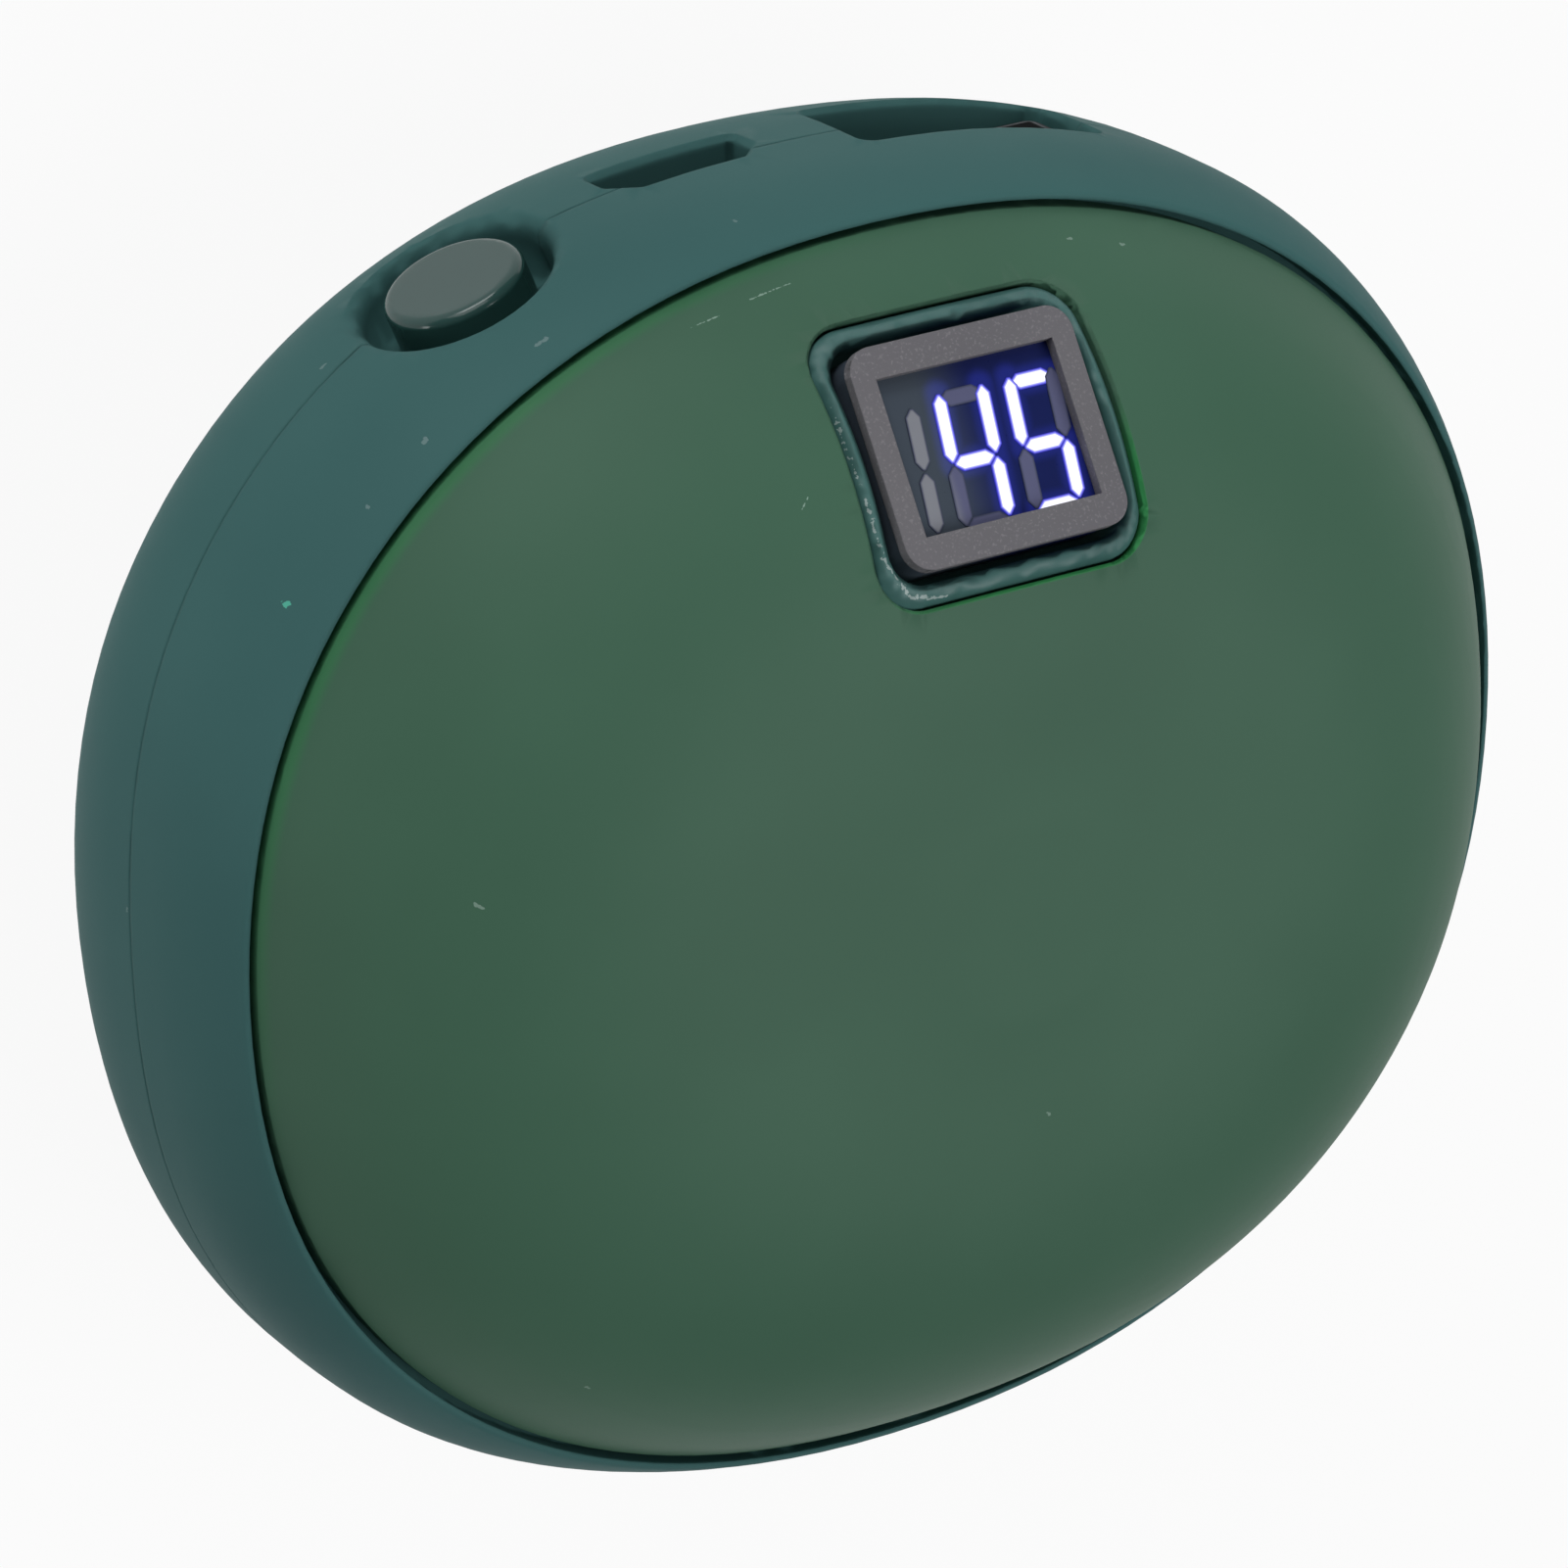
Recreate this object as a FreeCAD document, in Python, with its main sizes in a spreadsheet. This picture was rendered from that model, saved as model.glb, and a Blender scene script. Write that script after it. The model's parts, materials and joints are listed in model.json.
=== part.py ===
import FreeCAD, Part
import math
import os
import Sketcher
from FreeCAD import Placement, Rotation, Vector

# A rechargeable hand warmer: a pebble-shaped pocket heater. Two domed metal panels sit in a moulded frame
# whose halves meet at a seam. The frame's upper edge has a push button, a charging socket and an output
# socket, and a lit reading looks out of the front panel. Inside are two cells, two heating films and a board.
# It lies on its rear panel: X along its length, Y towards its sockets, Z up out of its front panel,
# with the origin in the middle of the flat that it rests on.

# Driving dimensions in millimetres; the powers of the curves are plain numbers
SIZES = {
    # Frame: the outline at the seam is a superellipse, drawn in towards the panels
    "body_length": 74.0,
    "body_width": 66.2,
    "outline_power": 2.34,
    "band_depth": 8.4,
    "band_roundness": 2.82,
    "frame_wall": 2.2,
    "lip_land": 0.3,
    "lip_edge": 0.15,
    "seam_groove": 0.04,
    "ledge_width": 4.2,
    "ledge_thickness": 1.4,
    # Panels: domed covers with a short skirt that stands on the frame's ledge
    "panel_inset": 2.1,
    "panel_power": 2.17,
    "panel_gap": 0.4,
    "panel_thickness": 1.0,
    "skirt_depth": 1.6,
    "dome_rise": 11.66,
    "dome_power": 4.78,
    "rest_length": 24.0,
    # Display: a flat plate in a surround that comes up through the front panel
    "display_inset": 7.7,
    "display_sink": 0.1,
    "cutout_width": 14.8,
    "cutout_height": 13.7,
    "cutout_radius": 2.3,
    "cutout_edge": 0.15,
    "surround_clearance": 0.15,
    "surround_flange": 1.2,
    "surround_floor": 0.8,
    "surround_edge": 0.3,
    "bezel_width": 12.2,
    "bezel_height": 10.7,
    "bezel_radius": 1.3,
    "bezel_thickness": 0.6,
    "bezel_gap": 0.4,
    "window_width": 9.7,
    "window_height": 7.6,
    "module_depth": 2.5,
    "module_margin": 0.1,
    "ribbon_width": 6.0,
    "ribbon_thickness": 0.3,
    "ribbon_place": -3.0,
    "ribbon_bend": 4.0,
    # Button: a flanged cap in a recess that both frame halves share
    "button_share": -0.4986,
    "button_diameter": 6.95,
    "button_edge": 0.5,
    "button_sink": 0.15,
    "button_clearance": 0.25,
    "button_travel": 0.35,
    "recess_diameter": 9.4,
    "recess_depth": 3.2,
    "recess_floor": 1.0,
    "recess_wall": 1.4,
    "recess_lip": 0.9,
    "recess_lip_drop": 0.43,
    "recess_lip_lean": 10.0,
    "cap_flange_diameter": 8.4,
    "cap_flange_thickness": 0.8,
    "plunger_diameter": 1.8,
    "plunger_reach": 1.6,
    "switch_width": 6.0,
    "switch_depth": 3.4,
    "switch_height": 3.6,
    # Sockets: both look out of the frame's upper edge
    "socket_height": -1.0,
    "socket_clearance": 0.15,
    "slot_edge": 0.3,
    "socket_wall": 0.3,
    "collar_wall": 1.2,
    "collar_reach": 4.5,
    "usb_a_place": 9.95,
    "usb_a_width": 13.1,
    "usb_a_height": 5.7,
    "usb_a_length": 13.8,
    "usb_a_setback": 3.1,
    "usb_a_tongue_width": 11.1,
    "usb_a_tongue_thickness": 1.84,
    "usb_a_tongue_length": 8.4,
    "usb_a_tongue_rise": 1.0,
    "usb_a_base": 3.2,
    "usb_a_contact_width": 1.0,
    "usb_a_contact_thickness": 0.25,
    "usb_a_inner_contact": 1.0,
    "usb_a_outer_contact": 3.5,
    "micro_usb_place": -5.5,
    "micro_usb_width": 7.6,
    "micro_usb_height": 2.7,
    "micro_usb_bevel": 1.2,
    "micro_usb_length": 5.4,
    "micro_usb_setback": 1.9,
    "micro_usb_tongue_width": 3.6,
    "micro_usb_tongue_thickness": 0.6,
    "micro_usb_tongue_length": 3.2,
    "micro_usb_base": 1.4,
    "micro_usb_contact_width": 0.35,
    "micro_usb_contact_thickness": 0.15,
    "micro_usb_contact_pitch": 0.65,
    "contact_setback": 0.65,
    # Circuit board and what it carries
    "board_top": -1.9,
    "board_thickness": 1.0,
    "board_depth": 16.8,
    "board_setback": 4.8,
    "board_clearance": 0.5,
    "chip_size": 5.0,
    "chip_thickness": 0.9,
    "chip_inset": 16.0,
    "chip_reach": 5.6,
    "inductor_size": 5.0,
    "inductor_height": 3.0,
    "inductor_gap": 0.7,
    "inductor_reach": 6.7,
    "component_radius": 0.5,
    "connector_width": 8.0,
    "connector_depth": 2.4,
    "connector_height": 1.2,
    # Cells, films and foam
    "cell_length": 40.0,
    "cell_thickness": 10.0,
    "cell_corner": 2.5,
    "cell_edge": 1.2,
    "cell_gap": 3.0,
    "cell_foot": 12.6,
    "tape_thickness": 0.5,
    "protection_length": 26.0,
    "protection_height": 7.0,
    "protection_thickness": 1.0,
    "lead_diameter": 1.2,
    "cell_lead_place": 6.5,
    "heater_lead_place": 14.0,
    "film_thickness": 0.3,
    "film_gap": 0.05,
    "film_share": 0.66,
    "film_notch": 19.0,
    "film_clearance": 1.0,
    "foam_length": 30.0,
    "foam_width": 24.0,
    "sensor_diameter": 1.8,
    "sensor_length": 4.0,
    "sensor_place": -19.0,
    # Fasteners
    "frame_screw_diameter": 2.0,
    "frame_screw_head": 3.8,
    "frame_screw_head_height": 1.2,
    "frame_screw_length": 9.4,
    "rear_screw_place": 8.15,
    "screw_clearance": 0.15,
    "boss_diameter": 5.2,
    "boss_gap": 0.75,
    "board_screw_diameter": 1.6,
    "board_screw_head": 3.0,
    "board_screw_head_height": 0.8,
    "board_screw_length": 3.0,
    "post_diameter": 3.6,
    "post_inset": 8.4,
    "post_reach": 2.2,
}

# Small running fits and the spare length that lets one solid cut right through another
FIT = 0.05
SPARE = 5.0

# How near counts as touching
TOUCH = 0.01

# What shapes the lofts: the points on an oval, the sweeps that settle its poles, and the sections
# up the band and in towards the dome's top; and the steps round the flare of the button's recess
OVAL_POINTS = 16
SETTLING_SWEEPS = 40
BAND_SHARES = (0.4, 0.7, 0.88, 1.0)
DOME_SHARES = (1.0, 0.93, 0.82, 0.65, 0.4, 0.15)
FLARE_STEPS = 4

doc = FreeCAD.newDocument("hand_warmer")
sheet = doc.addObject("Spreadsheet::Sheet", "sizes")
for row, (alias, number) in enumerate(SIZES.items(), start=1):
    sheet.set("A%d" % row, alias)
    sheet.set("B%d" % row, str(number))
    sheet.setAlias("B%d" % row, alias)
doc.recompute()

parts = []


def size(alias):
    """One driving dimension, read from the sheet."""
    return float(sheet.get(alias))


def value(expression):
    """The number that an expression over the sheet gives."""
    result = sheet.evalExpression(expression)
    return float(getattr(result, "Value", result))


# Helpers for the sketched bodies


def new_body(label):
    body = doc.addObject("PartDesign::Body", label)
    body.Label = label
    parts.append(body)
    return body


def origin_plane(body, role):
    return next(feature for feature in body.Origin.OriginFeatures if feature.Role == role)


def polygon_sketch(body, role, corners, lift="0"):
    """A closed polygon on one of the body's planes, each corner held by two expressions over the sheet."""
    sketch = body.newObject("Sketcher::SketchObject", body.Label + "_outline")
    sketch.AttachmentSupport = [(origin_plane(body, role), "")]
    sketch.MapMode = "FlatFace"
    sketch.setExpression("AttachmentOffset.Base.z", lift)
    points = [Vector(value(across), value(along), 0) for across, along in corners]
    for index, point in enumerate(points):
        sketch.addGeometry(Part.LineSegment(point, points[(index + 1) % len(points)]))
    for index in range(len(points)):
        sketch.addConstraint(Sketcher.Constraint("Coincident", index, 2, (index + 1) % len(points), 1))
    for index, corner in enumerate(corners):
        for kind, number, expression in zip(("DistanceX", "DistanceY"), points[index], corner):
            held = sketch.addConstraint(Sketcher.Constraint(kind, -1, 1, index, 1, number))
            sketch.setExpression("Constraints[%d]" % held, expression)
    return sketch


def rectangle(width, height):
    """The corners of a rectangle about the sketch's origin."""
    across, along = "(%s) / 2" % width, "(%s) / 2" % height
    return [("-" + across, "-" + along), (across, "-" + along), (across, along), ("-" + across, along)]


def pad(body, sketch, length):
    feature = body.newObject("PartDesign::Pad", body.Label + "_pad")
    feature.Profile = sketch
    feature.setExpression("Length", length)
    sketch.Visibility = False
    doc.recompute()
    return feature


def pocket(body, sketch, length):
    """A pocket cut downwards from its sketch; it has to take something away."""
    before = body.Shape.Volume
    feature = body.newObject("PartDesign::Pocket", body.Label + "_pocket")
    feature.Profile = sketch
    feature.setExpression("Length", length)
    doc.recompute()
    if body.Shape.Volume >= before:
        raise ValueError("the pocket of %s cuts nothing" % body.Label)
    return feature


def revolve(body, sketch):
    """A turned piece: the profile's upright axis is the body's Z axis."""
    feature = body.newObject("PartDesign::Revolution", body.Label + "_turning")
    feature.Profile = sketch
    feature.ReferenceAxis = (sketch, ["V_Axis"])
    feature.Angle = 360
    doc.recompute()
    return feature


def upright_edges(shape):
    """The names of a shape's straight edges that run along Z."""
    names = []
    for index, edge in enumerate(shape.Edges, start=1):
        if isinstance(edge.Curve, Part.Line) and edge.BoundBox.DiagonalLength - edge.BoundBox.ZLength < FIT:
            names.append("Edge%d" % index)
    return names


def fillet(body, base, edges, radius):
    feature = body.newObject("PartDesign::Fillet", body.Label + "_fillet")
    feature.Base = (base, edges)
    feature.setExpression("Radius", radius)
    doc.recompute()
    return feature


# Helpers for the shells, which are lofted through superellipses


def add_part(label, shape, placement):
    part = doc.addObject("Part::Feature", label)
    part.Label = label
    part.Shape = shape
    part.Placement = placement.multiply(shape.Placement)
    parts.append(part)
    return part


def poles_through(points):
    """The poles of the closed uniform cubic that passes through some points."""
    poles = list(points)
    for sweep in range(SETTLING_SWEEPS):
        for index, point in enumerate(points):
            # A point on such a curve is four sixths of its own pole and one sixth of each pole beside it
            beside = poles[index - 1] + poles[(index + 1) % len(poles)]
            poles[index] = (point * 6 - beside) / 4
    return poles


def oval(half_x, half_y, power, height):
    """A superellipse as one smooth closed curve, flat at a height."""
    points = []
    for step in range(OVAL_POINTS):
        angle = 2 * math.pi * step / OVAL_POINTS
        across, along = math.cos(angle), math.sin(angle)
        reach = (abs(across / half_x) ** power + abs(along / half_y) ** power) ** (-1 / power)
        points.append(Vector(reach * across, reach * along, height))
    knots = [float(step) for step in range(OVAL_POINTS + 1)]
    curve = Part.BSplineCurve()
    curve.buildFromPolesMultsKnots(poles_through(points), [1] * len(knots), knots, True, 3)
    return Part.Wire(curve.toShape())


def oval_prism(half_x, half_y, power, low, high):
    """An upright prism on a superellipse between two heights."""
    return Part.Face(oval(half_x, half_y, power, low)).extrude(Vector(0, 0, high - low))


def rounded_block(width, height, radius, low, high):
    """A block about the Z axis whose upright edges are rounded."""
    block = Part.makeBox(width, height, high - low, Vector(-width / 2, -height / 2, low))
    edges = [block.Edges[int(name[4:]) - 1] for name in upright_edges(block)]
    return block.makeFillet(radius, edges)


def curved_face(solid):
    """The largest face of a lofted solid that isn't flat."""
    curved = [face for face in solid.Faces if not isinstance(face.Surface, Part.Plane)]
    return max(curved, key=lambda face: face.Area)


def soften(shape, face, cutter, width):
    """A shape with its edges broken where a cutter's sides come out through a face."""
    edges = []
    for edge in shape.Edges:
        middle = Part.Vertex(edge.valueAt((edge.FirstParameter + edge.LastParameter) / 2))
        if face.distToShape(middle)[0] < TOUCH and cutter.Shells[0].distToShape(middle)[0] < TOUCH:
            edges.append(edge)
    return shape.makeChamfer(width, edges)


def moved(shape, placement):
    """A copy of a shape put through a placement."""
    copy = shape.copy()
    copy.Placement = placement.multiply(copy.Placement)
    return copy


# Places that several pieces share, measured from the middle of the seam plane

half_x, half_y = size("body_length") / 2, size("body_width") / 2
panel_x, panel_y = half_x - size("panel_inset"), half_y - size("panel_inset")
recess_x, recess_y = panel_x + size("panel_gap"), panel_y + size("panel_gap")
inner_x, inner_y = half_x - size("frame_wall"), half_y - size("frame_wall")
ledge_top = size("band_depth") - size("skirt_depth")
ledge_bottom = ledge_top - size("ledge_thickness")
board_front = half_y - size("board_setback")
board_back = board_front - size("board_depth")
cell_end = board_back - size("cell_gap")
cell_start = size("cell_foot") - half_y
cell_place = (cell_start + cell_end) / 2
rest_share = size("rest_length") / (2 * panel_x)
seam_height = size("band_depth") + size("dome_rise") * (1 - rest_share ** size("dome_power"))
at_seam = Placement(Vector(0, 0, seam_height), Rotation())
mirrored = Vector(0, 0, 1)

# The display lies along the slope of the dome where the dome crosses the middle line
display_y = panel_y - size("display_inset")
display_share = display_y / panel_y
display_rise = size("band_depth") + size("dome_rise") * (1 - display_share ** size("dome_power"))
dome_slope = size("dome_rise") * size("dome_power") / panel_y * display_share ** (size("dome_power") - 1)
display_tilt = math.degrees(math.atan(dome_slope))
on_dome = Placement(Vector(0, display_y, display_rise), Rotation(Vector(1, 0, 0), -display_tilt))
bezel_back = -size("display_sink") - size("bezel_thickness")
module_back = bezel_back - size("module_depth")
surround_back = module_back - size("surround_floor")

# The button's axis is square to the outline at its place on the seam
button_x = size("button_share") * half_x
button_y = half_y * (1 - abs(button_x / half_x) ** size("outline_power")) ** (1 / size("outline_power"))
outward = Vector(
    math.copysign(abs(button_x / half_x) ** (size("outline_power") - 1) / half_x, button_x),
    (button_y / half_y) ** (size("outline_power") - 1) / half_y,
    0,
).normalize()
at_button = Placement(Vector(button_x, button_y, 0), Rotation(Vector(), Vector(0, 0, 1), outward, "ZYX"))
recess_bottom = -size("recess_depth")
recess_back = recess_bottom - size("recess_floor")
cap_flange_back = recess_back - FIT - size("cap_flange_thickness")
switch_front = cap_flange_back - size("plunger_reach") + size("button_travel") + FIT

# The sockets look along Y: their own Z axis points out of the object and their own Y axis points to its rear
socket_turn = Rotation(Vector(1, 0, 0), -90)


def socket_place(name):
    """The placement of the middle of a socket's mouth, which lies in a plane across Y."""
    mouth = half_y - size(name + "_setback")
    return Placement(Vector(size(name + "_place"), mouth, size("socket_height")), socket_turn)


def frame_screw_places():
    """Four points beside the frame's inner wall: two just behind the board and two past the middle."""
    inset = (size("boss_diameter") - size("frame_wall")) / 2
    power = size("outline_power")
    places = []
    for along in (board_back - size("boss_gap") - size("boss_diameter") / 2, -size("rear_screw_place")):
        across = (inner_x - inset) * (1 - abs(along / (inner_y - inset)) ** power) ** (1 / power)
        places += [(side * across, along) for side in (-1, 1)]
    return places


def board_screw_places():
    across, along = half_x - size("post_inset"), board_back + size("post_reach")
    return [(side * across, along) for side in (-1, 1)]


# Frame halves


def band_section(height):
    """The frame's outline at a height above the seam."""
    share = (height / size("band_depth")) ** size("band_roundness")
    drawn_in = size("panel_inset") - size("panel_gap") - size("lip_land")
    power = size("outline_power") + (size("panel_power") - size("outline_power")) * share
    return oval(half_x - drawn_in * share, half_y - drawn_in * share, power, height)


def band_solid():
    """The frame's filled front half, with half of the fine groove that marks the seam."""
    groove = size("seam_groove")
    heights = [groove] + [share * size("band_depth") for share in BAND_SHARES]
    band = Part.makeLoft([band_section(height) for height in heights], True)
    start = oval(half_x - groove, half_y - groove, size("outline_power"), 0)
    return band.fuse(Part.makeLoft([start, band_section(groove)], True, True)).removeSplitter()


def frame_ring():
    """The front half as an open ring: an outer wall, a ledge for the panel's skirt and a lip round it."""
    power, panel_power = size("outline_power"), size("panel_power")
    cavity = oval_prism(inner_x, inner_y, power, -SPARE, ledge_bottom)
    opening_x, opening_y = recess_x - size("ledge_width"), recess_y - size("ledge_width")
    opening = oval_prism(opening_x, opening_y, panel_power, -SPARE, size("band_depth") + SPARE)
    recess = oval_prism(recess_x, recess_y, panel_power, ledge_top, size("band_depth") + SPARE)
    ring = band_solid().cut([cavity, opening, recess])
    lip = [edge for edge in ring.Edges if edge.BoundBox.ZMin > size("band_depth") - TOUCH]
    return ring.makeChamfer(size("lip_edge"), [max(lip, key=lambda edge: edge.Length)])


def button_recess():
    """The turned space of the button's recess, with a flared lip and the hole for the cap."""
    radius, lip = size("recess_diameter") / 2, size("recess_lip")
    hole = size("button_diameter") / 2 + size("button_clearance")
    lean = math.radians(size("recess_lip_lean"))
    centre = Vector(radius + lip, 0, -size("recess_lip_drop") - lip * math.cos(lean))
    corners = [
        Vector(0, 0, SPARE),
        Vector(0, 0, recess_back - SPARE),
        Vector(hole, 0, recess_back - SPARE),
        Vector(hole, 0, recess_bottom),
        Vector(radius, 0, recess_bottom),
    ]
    for step in range(FLARE_STEPS + 1):
        turn = math.pi - (math.pi / 2 + lean) * step / FLARE_STEPS
        corners.append(centre + Vector(math.cos(turn), 0, math.sin(turn)) * lip)
    corners += [Vector(corners[-1].x, 0, SPARE), corners[0]]
    profile = Part.Face(Part.makePolygon(corners))
    return profile.revolve(Vector(), Vector(0, 0, 1), 360)


def button_boss():
    """The cup behind the recess."""
    radius = size("recess_diameter") / 2 + size("recess_wall")
    return Part.makeCylinder(radius, -recess_back, Vector(0, 0, recess_back))


def socket_block(name, margin, low, high, radius):
    """A block round a socket's shell from one depth to another, both measured from the mouth."""
    width, height = size(name + "_width") + 2 * margin, size(name + "_height") + 2 * margin
    return moved(rounded_block(width, height, radius, low, high), socket_place(name))


def micro_outline(margin):
    """The charging socket's outline, with its two front corners cut off, grown by a margin."""
    across, along = size("micro_usb_width") / 2 + margin, size("micro_usb_height") / 2 + margin
    bevel = size("micro_usb_bevel")
    return [
        (-across, along), (-across, bevel - along), (bevel - across, -along),
        (across - bevel, -along), (across, bevel - along), (across, along),
    ]


def micro_block(margin, low, high):
    points = [Vector(x, y, low) for x, y in micro_outline(margin)]
    prism = Part.Face(Part.makePolygon(points + points[:1])).extrude(Vector(0, 0, high - low))
    edges = [prism.Edges[int(name[4:]) - 1] for name in upright_edges(prism)]
    return moved(prism.makeFillet(size("socket_wall"), edges), socket_place("micro_usb"))


def socket_openings():
    """The two slots through the frame's upper edge, wide enough for the sockets' shells."""
    margin = size("socket_clearance")
    usb_a = socket_block("usb_a", margin, -size("usb_a_length"), SPARE, 2 * size("socket_wall"))
    return [usb_a, micro_block(margin, -size("micro_usb_length"), SPARE)]


def socket_collars():
    """The thickened walls round the slots, which hold the sockets' shells."""
    margin = size("socket_clearance") + size("collar_wall")
    collars = []
    for name in ("usb_a", "micro_usb"):
        low = size(name + "_setback") - size("collar_reach")
        collars.append(socket_block(name, margin, low, SPARE, size("collar_wall")))
    return collars


def frame_half(front):
    """One half of the frame with its share of the button's cup, the socket collars and the screw bosses."""
    ring, filled = frame_ring(), band_solid()
    middle_x, middle_y = (half_x + inner_x) / 2, (half_y + inner_y) / 2
    core = oval_prism(middle_x, middle_y, size("outline_power"), 0, ledge_top)
    if not front:
        ring, filled, core = [shape.mirror(Vector(), mirrored) for shape in (ring, filled, core)]
    cup = moved(button_boss(), at_button)
    ribs = [piece.common(core) for piece in [cup] + socket_collars()]
    bosses = []
    direction = Vector(0, 0, 1 if front else -1)
    for x, y in frame_screw_places():
        bosses.append(Part.makeCylinder(size("boss_diameter") / 2, ledge_top, Vector(x, y, 0), direction))
    bosses = [boss.common(core) for boss in bosses]
    if not front:
        height = size("board_top") - size("board_thickness") + ledge_top
        for x, y in board_screw_places():
            bosses.append(Part.makeCylinder(size("post_diameter") / 2, height, Vector(x, y, -ledge_top)))
    half = ring.fuse(ribs + bosses).cut([moved(button_recess(), at_button)] + socket_openings())
    for slot in socket_openings():
        half = soften(half, curved_face(filled), slot, size("slot_edge"))
    return half


def front_frame():
    half = frame_half(True)
    radius = size("frame_screw_diameter") / 2 + FIT
    depth = size("frame_screw_length") - screw_seat() + FIT
    holes = [Part.makeCylinder(radius, depth, Vector(x, y, 0)) for x, y in frame_screw_places()]
    add_part("front_frame", half.cut(holes), at_seam)


def screw_seat():
    """How far below the seam the heads of the frame's screws bear."""
    return ledge_top - size("frame_screw_head_height") - size("screw_clearance")


def rear_frame():
    half = frame_half(False)
    bore = size("frame_screw_diameter") / 2 + size("screw_clearance")
    head = size("frame_screw_head") / 2 + size("screw_clearance")
    holes = []
    for x, y in frame_screw_places():
        holes.append(Part.makeCylinder(bore, ledge_top, Vector(x, y, -ledge_top)))
        holes.append(Part.makeCylinder(head, ledge_top - screw_seat(), Vector(x, y, -ledge_top)))
    radius = size("board_screw_diameter") / 2 + FIT
    depth = size("board_screw_length") + FIT
    top = size("board_top") - size("board_thickness")
    for x, y in board_screw_places():
        holes.append(Part.makeCylinder(radius, depth, Vector(x, y, top - depth)))
    add_part("rear_frame", half.cut(holes), at_seam)


# Panels


def dome_solid(inset, last_share=DOME_SHARES[-1], first_share=DOME_SHARES[0]):
    """The solid under the dome, sunk by an inset, between two shares of the way out from its top."""
    rise, power = size("dome_rise") - inset, size("dome_power")
    base_x, base_y = panel_x - inset, panel_y - inset
    sections = []
    between = [share for share in DOME_SHARES if last_share < share < first_share]
    for share in [first_share] + between + [last_share]:
        height = size("band_depth") + rise * (1 - share ** power)
        sections.append(oval(base_x * share, base_y * share, size("panel_power"), height))
    return Part.makeLoft(sections, True)


def panel_shell(last_share):
    """A domed sheet with a skirt that stands on the frame's ledge."""
    wall, power, edge = size("panel_thickness"), size("panel_power"), size("band_depth")
    skirt = oval_prism(panel_x, panel_y, power, ledge_top, edge)
    hollow = oval_prism(panel_x - wall, panel_y - wall, power, ledge_top - SPARE, edge)
    dome = dome_solid(0, last_share).cut(dome_solid(wall, last_share))
    return dome.fuse(skirt.cut(hollow)).removeSplitter()


def display_block(width, height, radius, low, high):
    """A block in the display's own plane, from one depth to another."""
    return moved(rounded_block(width, height, radius, low, high), on_dome)


def front_panel():
    cutout = display_block(
        size("cutout_width"), size("cutout_height"), size("cutout_radius"), surround_back - SPARE, SPARE
    )
    panel = panel_shell(DOME_SHARES[-1]).cut(cutout)
    add_part("front_panel", soften(panel, curved_face(dome_solid(0)), cutout, size("cutout_edge")), at_seam)


def rear_panel():
    add_part("rear_panel", panel_shell(rest_share).mirror(Vector(), mirrored), at_seam)


# Display


def display_surround():
    """A tray whose lip follows the dome through the panel's cut-out, with a flange behind the panel."""
    clearance, flange = size("surround_clearance"), size("surround_flange")
    width, height = size("cutout_width") - 2 * clearance, size("cutout_height") - 2 * clearance
    radius = size("cutout_radius") - clearance
    under_panel = size("panel_thickness") + FIT
    outer = display_block(width, height, radius, surround_back, SPARE)
    tray = outer.common(dome_solid(FIT))
    brim = display_block(
        width + 2 * flange, height + 2 * flange, radius + flange, surround_back - SPARE, SPARE
    ).common(dome_solid(under_panel)).cut(dome_solid(under_panel + size("surround_floor")))
    gap = size("bezel_gap")
    pocket_width, pocket_height = size("bezel_width") + 2 * gap, size("bezel_height") + 2 * gap
    hollow = display_block(pocket_width, pocket_height, size("bezel_radius") + gap, module_back, SPARE)
    slot = display_block(
        size("ribbon_width") + 2 * gap, size("connector_depth"), gap, surround_back - SPARE, module_back
    )
    slot.translate(Vector(size("ribbon_place"), 0, 0))
    surround = tray.fuse(brim).cut([hollow, slot]).removeSplitter()
    for block in (outer, hollow):
        surround = soften(surround, curved_face(dome_solid(FIT)), block, size("surround_edge"))
    add_part("display_surround", surround, at_seam)


def display_bezel():
    body = new_body("display_bezel")
    plate = pad(
        body,
        polygon_sketch(body, "XY_Plane", rectangle("sizes.bezel_width", "sizes.bezel_height")),
        "sizes.bezel_thickness",
    )
    fillet(body, plate, upright_edges(plate.Shape), "sizes.bezel_radius")
    window = rectangle("sizes.window_width", "sizes.window_height")
    thickness = "sizes.bezel_thickness"
    pocket(body, polygon_sketch(body, "XY_Plane", window, thickness), thickness)
    body.Placement = at_seam.multiply(on_dome).multiply(Placement(Vector(0, 0, bezel_back), Rotation()))


def display_module():
    body = new_body("display_module")
    outline = rectangle(
        "sizes.bezel_width - 2 * sizes.module_margin", "sizes.bezel_height - 2 * sizes.module_margin"
    )
    block = pad(body, polygon_sketch(body, "XY_Plane", outline), "sizes.module_depth")
    fillet(body, block, upright_edges(block.Shape), "sizes.bezel_radius - sizes.module_margin")
    body.Placement = at_seam.multiply(on_dome).multiply(Placement(Vector(0, 0, module_back), Rotation()))


def ribbon_path():
    """The ribbon's middle line in the YZ plane: square off the module's back, then down to the board."""
    start = on_dome.multVec(Vector(0, 0, module_back))
    along = on_dome.Rotation.multVec(Vector(0, 0, -1))
    turn = math.radians(display_tilt)
    reach = size("ribbon_bend") * math.tan(turn / 2)
    corner = start + along * (reach + size("surround_floor"))
    end = Vector(0, corner.y, size("board_top") + size("connector_height"))
    return start, along, corner, reach, end


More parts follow.
